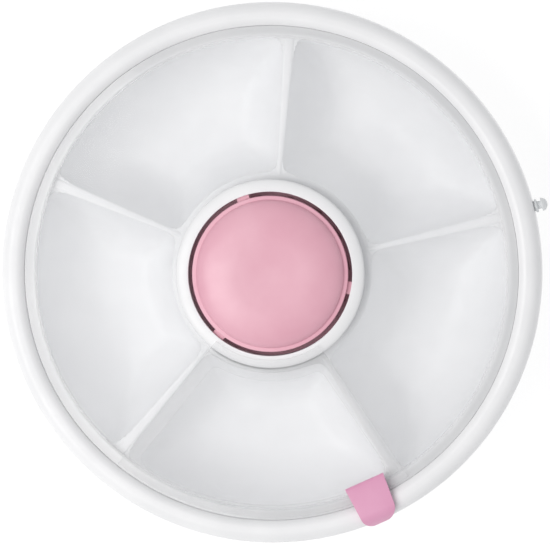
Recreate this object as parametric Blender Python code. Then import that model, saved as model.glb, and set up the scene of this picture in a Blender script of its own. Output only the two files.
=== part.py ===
"""Round travel pill organizer with a push button that turns a five-compartment tray under a clear cover.

The organizer stands on its feet at z = 0 with its axis on Z, and its door faces -Y.
Lengths below are in millimetres and angles in degrees. Meshes are made in metres.
"""

import math

import bmesh
import bpy
from mathutils import Matrix, Vector

MM = 0.001
GAP = 0.3
WIDE_SEGMENTS = 60
HUB_SEGMENTS = 36
POST_SEGMENTS = 18
SMALL_SEGMENTS = 12
SHARP_EDGE = math.radians(35)
OVERRUN = 0.8

# Base
BASE_BOTTOM = 1.0
FLOOR_TOP = 2.6
WALL = 1.6
RIM_RADIUS = 60.0
RIM_SHOULDER = 23.0
RIM_CREST_RADIUS = 57.5
RIM_TOP = 25.6
RIM_INNER_RADIUS = 54.9
RIM_INNER_TOP = 24.6
RIM_WALL = 1.2
RIM_LIP_BOTTOM = 19.6
RIM_LIP_EDGE = 0.4
RIM_CHANNEL_TOP = 23.6
RIM_OUTER_SIZE = (RIM_RADIUS - RIM_CREST_RADIUS, RIM_TOP - RIM_SHOULDER)
RIM_INNER_SIZE = (RIM_CREST_RADIUS - RIM_INNER_RADIUS, RIM_TOP - RIM_INNER_TOP)
LEDGE_RADIUS = 53.7
LEDGE_TOP = 20.2
FLOOR_EDGE_RADIUS = 45.0

# Bottom cover and the raised floor above it
COVER_RADIUS = 27.0
COVER_TOP = BASE_BOTTOM + 1.3
COVER_EDGE = 0.4
HUB_FLOOR_TOP = FLOOR_TOP + WALL
SCREW_CIRCLE = 23.6
SCREW_ANGLES = (90, 210, 330)
BOSS_RADIUS = 2.0
BOSS_TOP = 6.4
BOSS_HOLE_TOP = 5.6
SCREW_HOLE_RADIUS = 1.1
SCREW_HEAD_RADIUS = 1.8
SCREW_HEAD_BOTTOM = 0.75
SCREW_HEAD_TOP = 1.45
SCREW_HEAD_EDGE = 0.3
SCREW_SLOT_LENGTH = 2.0
SCREW_SLOT_WIDTH = 0.4
SCREW_SLOT_DEPTH = 0.35
COVER_SCREW_TIP = 5.2
POST_SCREW_TIP = 8.6
COUNTERBORE_TOP = SCREW_HEAD_TOP + GAP

# Feet
FOOT_CIRCLE = 39.0
FOOT_RADIUS = 3.5
FOOT_TOP = 1.3
FOOT_EDGE = 0.4
FOOT_ANGLES = (45, 135, 225, 315)

# Mechanism in the hub
TURRET_INNER_RADIUS = 11.3
TURRET_RADIUS = TURRET_INNER_RADIUS + WALL
TURRET_TOP = 16.2
POST_RADIUS = 4.0
POST_FLANGE_RADIUS = 8.4
POST_TOP = 19.0
POST_EDGE = 0.6
POST_HOLE_TOP = 9.5
CLIP_BOTTOM = 6.3
CLIP_TOP = 6.9
CLIP_GROOVE_RADIUS = 3.4
CLIP_RADIUS = 6.0
CLIP_ANGLE = 300
SPRING_RADIUS = 5.1
SPRING_WIRE_RADIUS = 0.45
SPRING_TURNS = 6
PLUNGER_RADIUS = 8.3
PLUNGER_BORE = 6.9
PLUNGER_BOTTOM = 11.4
PLUNGER_CEILING = 24.5
PLUNGER_FLANGE_RADIUS = 13.0
PLUNGER_FLANGE_BOTTOM = 26.0
PLUNGER_FLANGE_TOP = 27.0
LUG_ANGLES = (90, 210, 330)
LUG_HEIGHT = 2.0
LUG_MIDDLE = 13.2
LUG_REACH = 10.6
LUG_WIDTH = 2.0
SLEEVE_RADIUS = 10.9
SLEEVE_BORE = 8.7
SLEEVE_BOTTOM = HUB_FLOOR_TOP + GAP
SLEEVE_FLOOR_TOP = 5.7
SLEEVE_FLANGE_RADIUS = 12.8
SLEEVE_FLANGE_BOTTOM = TURRET_TOP + GAP
SLEEVE_FLANGE_TOP = 17.7
SLEEVE_TOP = 19.8
SLOT_HEIGHT = 3.5
SLOT_RUN_OUT = 8.5
PRESS_TRAVEL = 5.0
TURN_PER_PRESS = 72.0

# Ratchet and detent
PAWL_RING_RADIUS = 12.8
PAWL_REACH = 15.8
PAWL_WIDTH = 1.0
PAWL_ANGLE = 40
PAWL_COUNT = 3
PAWL_RELIEF = 0.2
PAWL_BOTTOM = SLEEVE_FLANGE_TOP + GAP
RATCHET_RADIUS = 19.2
RATCHET_BOTTOM = 13.5
RATCHET_TOP = 20.2
TOOTH_BOTTOM = 17.6
TOOTH_TIP_RADIUS = 16.2
TOOTH_SHAPE = ((0.0, 16.05), (0.1, 17.4), (0.5, 17.0))
TOOTH_COUNT = 15
TOOTH_WEB = 0.4
NOTCH_BORE = 17.0
NOTCH_CIRCLE = 17.3
NOTCH_RADIUS = 1.5
DETENT_NOSE_RADIUS = 16.6
DETENT_THICKNESS = 0.45
DETENT_HALF_ANGLE = 28
DETENT_BOW_POWER = 3
DETENT_BOTTOM = 14.2
DETENT_TOP = 16.0
GLIDE_TOP = 6.0
GLIDE_EDGE = 0.5

# Tray: five bowls between narrow wedge-shaped dividers
COMPARTMENTS = 5
FRONT_COMPARTMENT = 3.5
DIVIDER_ANGLE = 13.7
DIVIDER_HALF_ANGLE = 1.3
TRAY_TOP = 22.4
TRAY_FLOOR = 5.6
TRAY_WALL = 0.9
TRAY_BORE = 19.5
TRAY_HUB_BOTTOM = 5.2
TRAY_HUB_STEP = 0.1
TRAY_RADIUS = 53.2
BOWL_INNER_RADIUS = 22.2
BOWL_OUTER_RADIUS = 52.7
BOWL_INNER_FILLET = 9.0
BOWL_OUTER_FILLET = 15.0
BOWL_SIDE_FILLET = 11.0
BOWL_CORNER_POWER = 7.0
BOWL_FOOT_POWER = 2.4
BOWL_WALL_POWER = 1.5
BOWL_ANGLES = (1.3, 2.7, 6.0, 12.5, 22.5)
BOWL_INNER_STEPS = (0, 0.5, 2.2, 5.8)
BOWL_OUTER_STEPS = (17.3, 10.3, 5.3, 2.3, 0.7, 0)

# Cover, collar and seal
PANEL_BORE = 20.2
PANEL_TOP_AT_HUB = 25.0
PANEL_TOP_AT_RIM = 24.4
PANEL_THICKNESS = 1.3
PANEL_EDGE = 0.6
PANEL_RADIUS = RIM_INNER_RADIUS - GAP
FLANGE_INNER_RADIUS = 53.5
FLANGE_BOTTOM = 21.5
SEAL_INNER_RADIUS = 53.8
COLLAR_BORE = 18.2
COLLAR_NECK = PANEL_BORE - GAP
COLLAR_RADIUS = 20.9
COLLAR_BARB_RADIUS = 20.6
COLLAR_BOTTOM = 22.9
COLLAR_FLANGE_BOTTOM = 26.2
COLLAR_TOP = 27.2
COLLAR_EDGE = 0.3
GUIDE_ANGLES = (110, 230, 350)
GUIDE_GROOVE_RADIUS = 18.95
GUIDE_GROOVE_WIDTH = 4.2

# Door and its tab
DOOR_START = 231.2
DOOR_END = 304.3
DOOR_RADIUS = 54.3
DOOR_THICKNESS = 1.0
DOOR_EDGE = 0.3
DOOR_STEPS = 16
DOOR_HOOK_TOP = COLLAR_FLANGE_BOTTOM - GAP
DOOR_ARC_INNER = COLLAR_RADIUS + GAP
DOOR_ARC_OUTER = 21.9
DOOR_ARC_TOP = 28.3
DOOR_ARC_BORE = 19.0
OPENING_MARGIN = 3.0
OPENING_INNER_RADIUS = 24.0
OPENING_OUTER_RADIUS = 51.5
OPENING_CORNER = 2.0
TAB_ANGLE = 294.4
TAB_INNER_RADIUS = 50.4
TAB_INNER_WIDTH = 9.2
TAB_OUTER_WIDTH = 7.9
TAB_CLEARANCE = 0.45
TAB_THICKNESS = 1.2
TAB_END_THICKNESS = 0.3
TAB_NOSE = 0.6
TAB_UNDER_TURN = 32
TAB_OVER_TURN = 22
TAB_BEVEL = 0.35

# Button
BUTTON_RADIUS = 17.3
BUTTON_TOP = 30.5
BUTTON_FLAT_RADIUS = 9.5
BUTTON_DOME_RADIUS = 16.4
BUTTON_FLANGE_TOP = 27.4
BUTTON_BOTTOM = 25.8
BUTTON_ROOF = 29.1
BUTTON_WALL = 1.2
BUTTON_EDGE = 0.2
BUTTON_RIB_RADIUS = 10.5
BUTTON_RIB_BOTTOM = PLUNGER_FLANGE_TOP + GAP
GUIDE_LUG_REACH = 18.65
GUIDE_LUG_WIDTH = 2.8
GUIDE_LUG_TOP = 26.3
GUIDE_LUG_DROP = 0.4

# Peg on the rim
PEG_ANGLE = 14.4
PEG_HEIGHT = 21.8
PEG_SHANK_RADIUS = 1.1
PEG_NECK_RADIUS = 0.9
PEG_HEAD_RADIUS = 1.5
PEG_SHOULDER_LENGTH = 0.5
PEG_HEAD_LENGTH = 1.4
PEG_END = 63.1


def point_at(radius, angle, height=0.0):
    """A point in millimetres, at a radius and an angle in degrees round the Z axis."""
    turn = math.radians(angle)
    return Vector((radius * math.cos(turn), radius * math.sin(turn), height))


def ellipse_arc(centre, size, start, end, steps):
    """Points of a profile along an ellipse, as (radius, height), between two angles in degrees."""
    turns = [math.radians(start + (end - start) * i / steps) for i in range(steps + 1)]
    return [(centre[0] + size[0] * math.cos(t), centre[1] + size[1] * math.sin(t)) for t in turns]


def material(name, colour, roughness, metallic=0.0, alpha=1.0):
    made = bpy.data.materials.new(name)
    made.use_nodes = True
    shader = made.node_tree.nodes["Principled BSDF"]
    shader.inputs["Base Color"].default_value = (*colour, 1.0)
    shader.inputs["Roughness"].default_value = roughness
    shader.inputs["Metallic"].default_value = metallic
    shader.inputs["Alpha"].default_value = alpha
    made.diffuse_color = (*colour, alpha)
    return made


def add_object(name, bm, finish=None, smooth=True):
    """Turns a bmesh in millimetres into an object in metres."""
    bmesh.ops.remove_doubles(bm, verts=bm.verts, dist=1e-5)
    bmesh.ops.recalc_face_normals(bm, faces=bm.faces)
    bm.transform(Matrix.Scale(MM, 4))
    mesh = bpy.data.meshes.new(name)
    bm.to_mesh(mesh)
    bm.free()
    if smooth:
        mesh.shade_smooth()
        mesh.set_sharp_from_angle(angle=SHARP_EDGE)
    if finish:
        mesh.materials.append(finish)
    made = bpy.data.objects.new(name, mesh)
    bpy.context.scene.collection.objects.link(made)
    return made


def turned(profile, segments):
    """A bmesh spun a full turn round Z from a closed profile, or one that starts and ends on the axis."""
    bm = bmesh.new()
    verts = [bm.verts.new((radius, 0, height)) for radius, height in profile]
    closed = profile[0][0] > 0
    ends = zip(verts, verts[1:] + verts[:1] if closed else verts[1:])
    edges = [bm.edges.new(pair) for pair in ends]
    bmesh.ops.spin(
        bm, geom=verts + edges, axis=(0, 0, 1), cent=(0, 0, 0), angle=math.tau, steps=segments
    )
    return bm


def skinned(sections, looped=False):
    """A bmesh that joins equal rings of points in order, with end faces unless it is looped."""
    bm = bmesh.new()
    rings = [[bm.verts.new(point) for point in section] for section in sections]
    count = len(rings[0])
    pairs = zip(rings, rings[1:] + rings[:1] if looped else rings[1:])
    for first, second in pairs:
        for i in range(count):
            j = (i + 1) % count
            bm.faces.new((first[i], first[j], second[j], second[i]))
    if not looped:
        bm.faces.new(rings[0])
        bm.faces.new(rings[-1])
        bmesh.ops.triangulate(bm, faces=[face for face in bm.faces if len(face.verts) > 4])
    return bm


def swept_arc(profile, start, end, steps):
    """A bmesh of a closed profile carried round Z from one angle to another."""
    angles = [start + (end - start) * i / steps for i in range(steps + 1)]
    return skinned([[point_at(radius, angle, z) for radius, z in profile] for angle in angles])


def prism(outline, bottom, top):
    """A bmesh of an outline of (x, y) points raised from one height to another."""
    return skinned([[Vector((x, y, z)) for x, y in outline] for z in (bottom, top)])


def block(inner, outer, width, bottom, top, angle):
    """A bmesh box that points outwards from the axis at an angle."""
    half = width / 2
    outline = [(inner, -half), (outer, -half), (outer, half), (inner, half)]
    bm = prism(outline, bottom, top)
    bm.transform(Matrix.Rotation(math.radians(angle), 4, "Z"))
    return bm


def upright_strip(places, thickness, bottom, top):
    """A bmesh of a strip that stands on edge and follows (radius, angle) places on its inner side."""
    sections = []
    for radius, angle in places:
        outer = radius + thickness
        corners = ((radius, bottom), (outer, bottom), (outer, top), (radius, top))
        sections.append([point_at(reach, angle, z) for reach, z in corners])
    return skinned(sections)


def round_bar(radius, bottom, top, centre=(0, 0), segments=SMALL_SEGMENTS):
    """A bmesh of an upright cylinder."""
    bm = turned([(0, bottom), (radius, bottom), (radius, top), (0, top)], segments)
    bm.transform(Matrix.Translation((*centre, 0)))
    return bm


def combine(target, name, bm, operation="DIFFERENCE"):
    """Cuts or joins a bmesh into an object by an exact Boolean."""
    tool = add_object(name, bm, smooth=False)
    tool.hide_render = True
    tool.display_type = "WIRE"
    modifier = target.modifiers.new(name, "BOOLEAN")
    modifier.object = tool
    modifier.operation = operation
    modifier.solver = "EXACT"


def hang_from(axis_name, location, pieces):
    """Parents moving pieces to an empty that stands on their joint's axis."""
    axis = bpy.data.objects.new(axis_name, None)
    axis.location = Vector(location) * MM
    bpy.context.scene.collection.objects.link(axis)
    for piece in pieces:
        piece.parent = axis
        piece.matrix_parent_inverse = Matrix.Translation(-axis.location)


# ---- Base -------------------------------------------------------------------------------


def make_base_shell(finish):
    """A round bowl with a rolled rim, a raised floor over the bottom cover and a turret."""
    recess_radius = COVER_RADIUS + GAP
    outer_radius = RIM_INNER_RADIUS + RIM_WALL
    outside_size = (outer_radius - FLOOR_EDGE_RADIUS, LEDGE_TOP - BASE_BOTTOM)
    outside = [
        (recess_radius, BASE_BOTTOM),
        *ellipse_arc((FLOOR_EDGE_RADIUS, LEDGE_TOP), outside_size, -90, 0, 6),
    ]
    rim = [
        (outer_radius, RIM_CHANNEL_TOP),
        (RIM_RADIUS - WALL, RIM_CHANNEL_TOP),
        (RIM_RADIUS - WALL, RIM_LIP_BOTTOM),
        (RIM_RADIUS - RIM_LIP_EDGE, RIM_LIP_BOTTOM),
        (RIM_RADIUS, RIM_LIP_BOTTOM + RIM_LIP_EDGE),
        *ellipse_arc((RIM_CREST_RADIUS, RIM_SHOULDER), RIM_OUTER_SIZE, 0, 90, 4),
        *ellipse_arc((RIM_CREST_RADIUS, RIM_INNER_TOP), RIM_INNER_SIZE, 90, 180, 3)[1:],
        (RIM_INNER_RADIUS, LEDGE_TOP),
    ]
    inside_size = (LEDGE_RADIUS - FLOOR_EDGE_RADIUS, LEDGE_TOP - FLOOR_TOP)
    inside = [
        *ellipse_arc((FLOOR_EDGE_RADIUS, LEDGE_TOP), inside_size, 0, -90, 6),
        (recess_radius + WALL, FLOOR_TOP),
        (recess_radius + WALL, HUB_FLOOR_TOP),
    ]
    turret = [
        (TURRET_RADIUS, HUB_FLOOR_TOP),
        (TURRET_RADIUS, TURRET_TOP),
        (TURRET_INNER_RADIUS, TURRET_TOP),
        (TURRET_INNER_RADIUS, HUB_FLOOR_TOP),
        (POST_FLANGE_RADIUS + GAP, HUB_FLOOR_TOP),
        (POST_FLANGE_RADIUS + GAP, FLOOR_TOP),
        (recess_radius, FLOOR_TOP),
    ]
    shell = add_object("base_shell", turned(outside + rim + inside + turret, WIDE_SEGMENTS), finish)
    for i, angle in enumerate(SCREW_ANGLES, 1):
        centre = point_at(SCREW_CIRCLE, angle).to_2d()
        boss = round_bar(BOSS_RADIUS, HUB_FLOOR_TOP - OVERRUN, BOSS_TOP, centre)
        combine(shell, f"boss_{i}", boss, "UNION")
        hole = round_bar(SCREW_HOLE_RADIUS, FLOOR_TOP - OVERRUN, BOSS_HOLE_TOP, centre)
        combine(shell, f"boss_hole_{i}", hole)
    for i, angle in enumerate(FOOT_ANGLES, 1):
        centre = point_at(FOOT_CIRCLE, angle).to_2d()
        seat = round_bar(FOOT_RADIUS + GAP, BASE_BOTTOM - OVERRUN, FOOT_TOP + GAP, centre)
        combine(shell, f"foot_seat_{i}", seat)
    peg_hole = round_bar(PEG_SHANK_RADIUS + GAP, RIM_RADIUS - WALL - OVERRUN, RIM_RADIUS + OVERRUN)
    lay_along_peg(peg_hole)
    combine(shell, "peg_hole", peg_hole)
    return shell


def make_bottom_cover(finish):
    """A thin disc with a counterbored hole for each of its screws and for the post's screw."""
    seat_radius = SCREW_HEAD_RADIUS + GAP
    profile = [
        (seat_radius, BASE_BOTTOM),
        (COVER_RADIUS - COVER_EDGE, BASE_BOTTOM),
        (COVER_RADIUS, BASE_BOTTOM + COVER_EDGE),
        (COVER_RADIUS, COVER_TOP),
        (SCREW_HOLE_RADIUS, COVER_TOP),
        (SCREW_HOLE_RADIUS, COUNTERBORE_TOP),
        (seat_radius, COUNTERBORE_TOP),
    ]
    cover = add_object("bottom_cover", turned(profile, HUB_SEGMENTS), finish)
    hole_profile = [
        (0, BASE_BOTTOM - OVERRUN),
        (seat_radius, BASE_BOTTOM - OVERRUN),
        (seat_radius, COUNTERBORE_TOP),
        (SCREW_HOLE_RADIUS, COUNTERBORE_TOP),
        (SCREW_HOLE_RADIUS, COVER_TOP + OVERRUN),
        (0, COVER_TOP + OVERRUN),
    ]
    for i, angle in enumerate(SCREW_ANGLES, 1):
        hole = turned(hole_profile, SMALL_SEGMENTS)
        hole.transform(Matrix.Translation(point_at(SCREW_CIRCLE, angle)))
        combine(cover, f"cover_hole_{i}", hole)
    return cover


def make_screw(name, centre, tip, finish):
    """A small pan-head screw, head down, with a crossed driver recess."""
    shank, head = SCREW_HOLE_RADIUS - GAP, SCREW_HEAD_RADIUS
    profile = [
        (0, SCREW_HEAD_BOTTOM),
        (head - SCREW_HEAD_EDGE, SCREW_HEAD_BOTTOM),
        (head, SCREW_HEAD_BOTTOM + SCREW_HEAD_EDGE),
        (head, SCREW_HEAD_TOP),
        (shank, SCREW_HEAD_TOP),
        (shank, tip - shank),
        (0, tip),
    ]
    bm = turned(profile, SMALL_SEGMENTS)
    bm.transform(Matrix.Translation((*centre, 0)))
    screw = add_object(name, bm, finish)
    reach = SCREW_SLOT_LENGTH / 2
    low, high = SCREW_HEAD_BOTTOM - OVERRUN, SCREW_HEAD_BOTTOM + SCREW_SLOT_DEPTH
    for angle in (0, 90):
        slot = block(-reach, reach, SCREW_SLOT_WIDTH, low, high, angle)
        slot.transform(Matrix.Translation((*centre, 0)))
        combine(screw, f"{name}_driver_{angle}", slot)
    return screw


def make_foot(name, centre, finish):
    """A rubber disc in its seat under the base."""
    profile = [
        (0, 0),
        (FOOT_RADIUS - FOOT_EDGE, 0),
        (FOOT_RADIUS, FOOT_EDGE),
        (FOOT_RADIUS, FOOT_TOP),
        (0, FOOT_TOP),
    ]
    bm = turned(profile, SMALL_SEGMENTS)
    bm.transform(Matrix.Translation((*centre, 0)))
    return add_object(name, bm, finish)


def lay_along_peg(bm):
    """Lays an upright bmesh along the peg's axis, which points outwards through the rim."""
    bm.transform(Matrix.Rotation(math.radians(90), 4, "Y"))
    bm.transform(Matrix.Translation((0, 0, PEG_HEIGHT)))
    bm.transform(Matrix.Rotation(math.radians(PEG_ANGLE), 4, "Z"))


def make_rim_peg(finish):
    """A mushroom peg: shank through the rim, a shoulder outside it, a neck and a round head."""
    start = RIM_RADIUS - WALL - OVERRUN
    shoulder = RIM_RADIUS + GAP
    neck = shoulder + PEG_SHOULDER_LENGTH
    head = PEG_END - PEG_HEAD_LENGTH
    profile = [
        (0, start),
        (PEG_SHANK_RADIUS, start),
        (PEG_SHANK_RADIUS, shoulder),
        (PEG_HEAD_RADIUS, shoulder),
        (PEG_HEAD_RADIUS, neck),
        (PEG_NECK_RADIUS, neck),
        (PEG_NECK_RADIUS, head),
        *ellipse_arc((0, head), (PEG_HEAD_RADIUS, PEG_HEAD_LENGTH), 0, 90, 4)[:-1],
        (0, PEG_END),
    ]
    bm = turned(profile, SMALL_SEGMENTS)
    lay_along_peg(bm)
    return add_object("rim_peg", bm, finish)


# ---- Mechanism --------------------------------------------------------------------------


def make_center_post(finish):
    """A fixed post with a flange in the base's floor, a groove for the clip and a blind screw hole."""
    profile = [
        (0, POST_HOLE_TOP),
        (SCREW_HOLE_RADIUS, POST_HOLE_TOP),
        (SCREW_HOLE_RADIUS, FLOOR_TOP),
        (POST_FLANGE_RADIUS, FLOOR_TOP),
        (POST_FLANGE_RADIUS, HUB_FLOOR_TOP),
        (POST_RADIUS, HUB_FLOOR_TOP),
        (POST_RADIUS, CLIP_BOTTOM - GAP),
        (CLIP_GROOVE_RADIUS, CLIP_BOTTOM - GAP),
        (CLIP_GROOVE_RADIUS, CLIP_TOP + GAP),
        (POST_RADIUS, CLIP_TOP + GAP),
        (POST_RADIUS, POST_TOP - POST_EDGE),
        (POST_RADIUS - POST_EDGE, POST_TOP),
        (0, POST_TOP),
    ]
    return add_object("center_post", turned(profile, POST_SEGMENTS), finish)


def make_retaining_clip(finish):
    """An open ring in the post's groove that keeps the drive sleeve down."""
    inner = CLIP_GROOVE_RADIUS + GAP
    profile = [
        (inner, CLIP_BOTTOM),
        (CLIP_RADIUS, CLIP_BOTTOM),
        (CLIP_RADIUS, CLIP_TOP),
        (inner, CLIP_TOP),
    ]
    return add_object("retaining_clip", swept_arc(profile, 0, CLIP_ANGLE, 15), finish)


def make_return_spring(finish):
    """A coil spring between the clip and the plunger's ceiling."""
    low = CLIP_TOP + GAP + SPRING_WIRE_RADIUS
    high = PLUNGER_CEILING - GAP - SPRING_WIRE_RADIUS
    points_per_turn = 10
    steps = SPRING_TURNS * points_per_turn
    curve = bpy.data.curves.new("return_spring", "CURVE")
    curve.dimensions = "3D"
    curve.bevel_depth = SPRING_WIRE_RADIUS * MM
    curve.bevel_resolution = 1
    curve.use_fill_caps = True
    spline = curve.splines.new("POLY")
    spline.points.add(steps)
    for i, point in enumerate(spline.points):
        place = point_at(SPRING_RADIUS, i * 360 / points_per_turn, low + (high - low) * i / steps)
        point.co = (*(place * MM), 1.0)
    curve.materials.append(finish)
    spring = bpy.data.objects.new("return_spring", curve)
    bpy.context.scene.collection.objects.link(spring)
    return spring


def make_plunger(finish):
    """The button's stem: a tube closed at the top, with a flange for the cap and three drive lugs."""
    profile = [
        (0, PLUNGER_CEILING),
        (PLUNGER_BORE, PLUNGER_CEILING),
        (PLUNGER_BORE, PLUNGER_BOTTOM),
        (PLUNGER_RADIUS, PLUNGER_BOTTOM),
        (PLUNGER_RADIUS, PLUNGER_FLANGE_BOTTOM),
        (PLUNGER_FLANGE_RADIUS, PLUNGER_FLANGE_BOTTOM),
        (PLUNGER_FLANGE_RADIUS, PLUNGER_FLANGE_TOP),
        (0, PLUNGER_FLANGE_TOP),
    ]
    plunger = add_object("plunger", turned(profile, HUB_SEGMENTS), finish)
    low, high = LUG_MIDDLE - LUG_HEIGHT / 2, LUG_MIDDLE + LUG_HEIGHT / 2
    for i, angle in enumerate(LUG_ANGLES, 1):
        lug = block((PLUNGER_BORE + PLUNGER_RADIUS) / 2, LUG_REACH, LUG_WIDTH, low, high, angle)
        combine(plunger, f"drive_lug_{i}", lug, "UNION")
    return plunger


def make_drive_sleeve(finish):
    """A sleeve whose helical slots make it turn as the plunger's lugs are pushed straight down."""
    profile = [
        (POST_RADIUS + GAP, SLEEVE_BOTTOM),
        (SLEEVE_RADIUS, SLEEVE_BOTTOM),
        (SLEEVE_RADIUS, SLEEVE_FLANGE_BOTTOM),
        (SLEEVE_FLANGE_RADIUS, SLEEVE_FLANGE_BOTTOM),
        (SLEEVE_FLANGE_RADIUS, SLEEVE_FLANGE_TOP),
        (SLEEVE_RADIUS, SLEEVE_FLANGE_TOP),
        (SLEEVE_RADIUS, SLEEVE_TOP),
        (SLEEVE_BORE, SLEEVE_TOP),
        (SLEEVE_BORE, SLEEVE_FLOOR_TOP),
        (POST_RADIUS + GAP, SLEEVE_FLOOR_TOP),
    ]
    sleeve = add_object("drive_sleeve", turned(profile, HUB_SEGMENTS), finish)
    rise = PRESS_TRAVEL / TURN_PER_PRESS
    steps = 8
    for i, lug_angle in enumerate(LUG_ANGLES, 1):
        start = lug_angle - TURN_PER_PRESS - SLOT_RUN_OUT
        sweep = TURN_PER_PRESS + 2 * SLOT_RUN_OUT
        sections = []
        for step in range(steps + 1):
            angle = start + sweep * step / steps
            middle = LUG_MIDDLE + (angle - lug_angle) * rise
            low, high = middle - SLOT_HEIGHT / 2, middle + SLOT_HEIGHT / 2
            inner, outer = SLEEVE_BORE - OVERRUN, SLEEVE_RADIUS + OVERRUN
            corners = ((inner, low), (outer, low), (outer, high), (inner, high))
            sections.append([point_at(radius, angle, z) for radius, z in corners])
        combine(sleeve, f"helical_slot_{i}", skinned(sections))
    return sleeve


def make_pawl_ring(finish):
    """A ring on the sleeve with three spring fingers that push the tray's teeth one way."""
    bore = SLEEVE_RADIUS + GAP
    profile = [
        (bore, PAWL_BOTTOM),
        (PAWL_RING_RADIUS, PAWL_BOTTOM),
        (PAWL_RING_RADIUS, SLEEVE_TOP),
        (bore, SLEEVE_TOP),
    ]
    ring = add_object("pawl_ring", turned(profile, HUB_SEGMENTS), finish)
    root_radius = (bore + PAWL_RING_RADIUS) / 2
    tip_radius = PAWL_REACH - PAWL_WIDTH
    steps = 6
    for i in range(PAWL_COUNT):
        places = []
        for step in range(steps + 1):
            share = step / steps
            angle = 360 / PAWL_COUNT * i + PAWL_ANGLE * share
            places.append((root_radius + (tip_radius - root_radius) * share, angle))
        pawl = upright_strip(places, PAWL_WIDTH, PAWL_BOTTOM + PAWL_RELIEF, SLEEVE_TOP - PAWL_RELIEF)
        combine(ring, f"pawl_{i + 1}", pawl, "UNION")
    return ring


def make_ratchet_ring(finish):
    """A ring in the tray's hub: sloped teeth above, and one detent notch per compartment below."""
    profile = [
        (TOOTH_TIP_RADIUS, TOOTH_BOTTOM),
        (NOTCH_BORE, TOOTH_BOTTOM),
        (NOTCH_BORE, RATCHET_BOTTOM),
        (RATCHET_RADIUS, RATCHET_BOTTOM),
        (RATCHET_RADIUS, RATCHET_TOP),
        (TOOTH_TIP_RADIUS, RATCHET_TOP),
    ]
    ring = add_object("ratchet_ring", turned(profile, WIDE_SEGMENTS), finish)
    pitch = 360 / TOOTH_COUNT
    outline = []
    for tooth in range(TOOTH_COUNT):
        for share, radius in TOOTH_SHAPE:
            outline.append(point_at(radius, (tooth + share) * pitch).to_2d())
    teeth = prism(outline, TOOTH_BOTTOM + TOOTH_WEB, RATCHET_TOP + OVERRUN)
    combine(ring, "tooth_gaps", teeth)
    for i in range(COMPARTMENTS):
        angle = DIVIDER_ANGLE + 360 / COMPARTMENTS * (i + 0.5)
        centre = point_at(NOTCH_CIRCLE, angle).to_2d()
        notch = round_bar(NOTCH_RADIUS, RATCHET_BOTTOM - OVERRUN, TOOTH_BOTTOM - TOOTH_WEB, centre)
        combine(ring, f"detent_notch_{i + 1}", notch)
    return ring


def make_detent_spring(finish):
    """A bowed leaf on the turret whose nose faces a notch of the ratchet ring."""
    front = DIVIDER_ANGLE + 360 / COMPARTMENTS * FRONT_COMPARTMENT
    foot = TURRET_RADIUS + GAP
    nose = DETENT_NOSE_RADIUS - DETENT_THICKNESS
    steps = 14
    places = []
    for i in range(steps + 1):
        share = 2 * i / steps - 1
        bow = max(math.cos(math.pi / 2 * share), 0.0) ** DETENT_BOW_POWER
        places.append((foot + (nose - foot) * bow, front + DETENT_HALF_ANGLE * share))
    leaf = upright_strip(places, DETENT_THICKNESS, DETENT_BOTTOM, DETENT_TOP)
    return add_object("detent_spring", leaf, finish)


def make_tray_glide_ring(finish):
    """A slippery ring under the tray's hub that runs on the floor round the turret."""
    profile = [
        (TURRET_RADIUS + GAP, SLEEVE_BOTTOM),
        (RATCHET_RADIUS, SLEEVE_BOTTOM),
        (RATCHET_RADIUS, GLIDE_TOP),
        (TURRET_RADIUS + GAP + GLIDE_EDGE, GLIDE_TOP),
        (TURRET_RADIUS + GAP, GLIDE_TOP - GLIDE_EDGE),
    ]
    return add_object("tray_glide_ring", turned(profile, HUB_SEGMENTS), finish)


# ---- Tray -------------------------------------------------------------------------------


def bowl_depth(radius, off_divider, grown=0.0):
    """How deep a bowl is, from 0 at its edge to 1 at its floor, as seen from above.

    off_divider is the angle from the nearest divider's middle. grown widens the bowl on every side.
    """
    side = radius * (
        math.sin(math.radians(off_divider)) - math.sin(math.radians(DIVIDER_HALF_ANGLE))
    )
    walls = (
        (side, BOWL_SIDE_FILLET),
        (radius - BOWL_INNER_RADIUS, BOWL_INNER_FILLET),
        (BOWL_OUTER_RADIUS - radius, BOWL_OUTER_FILLET),
    )
    near = 0.0
    for distance, fillet in walls:
        share = 1 - (distance + grown) / (fillet + grown)
        near += max(share, 0.0) ** BOWL_CORNER_POWER
    near = min(near ** (1 / BOWL_CORNER_POWER), 1.0)
    return (1 - near**BOWL_FOOT_POWER) ** (1 / BOWL_WALL_POWER)


def make_compartment_tray(finish):
    """One thin moulding: a hub tube, five bowls and the dividers between them."""
    depth = TRAY_TOP - TRAY_FLOOR
    pitch = 360 / COMPARTMENTS
    offsets = (0, *BOWL_ANGLES, pitch / 2, *(pitch - angle for angle in reversed(BOWL_ANGLES)))
    columns = [DIVIDER_ANGLE + pitch * k + offset for k in range(COMPARTMENTS) for offset in offsets]
    hub_outer = TRAY_BORE + TRAY_WALL
    rows = [TRAY_BORE, hub_outer, hub_outer + TRAY_HUB_STEP]
    rows += [BOWL_INNER_RADIUS + step for step in BOWL_INNER_STEPS]
    rows += [BOWL_OUTER_RADIUS - step for step in BOWL_OUTER_STEPS]
    rows.append(TRAY_RADIUS)

    sections = []
    for angle in columns:
        along = (angle - DIVIDER_ANGLE) % pitch
        off_divider = min(along, pitch - along)
        top, under = [], []
        for radius in rows:
            top.append(point_at(radius, angle, TRAY_TOP - depth * bowl_depth(radius, off_divider)))
            low = TRAY_TOP - TRAY_WALL - depth * bowl_depth(radius, off_divider, TRAY_WALL)
            under.append(point_at(radius, angle, TRAY_HUB_BOTTOM if radius <= hub_outer else low))
        sections.append(top + under[::-1])
    return add_object("compartment_tray", skinned(sections, looped=True), finish)


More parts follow.
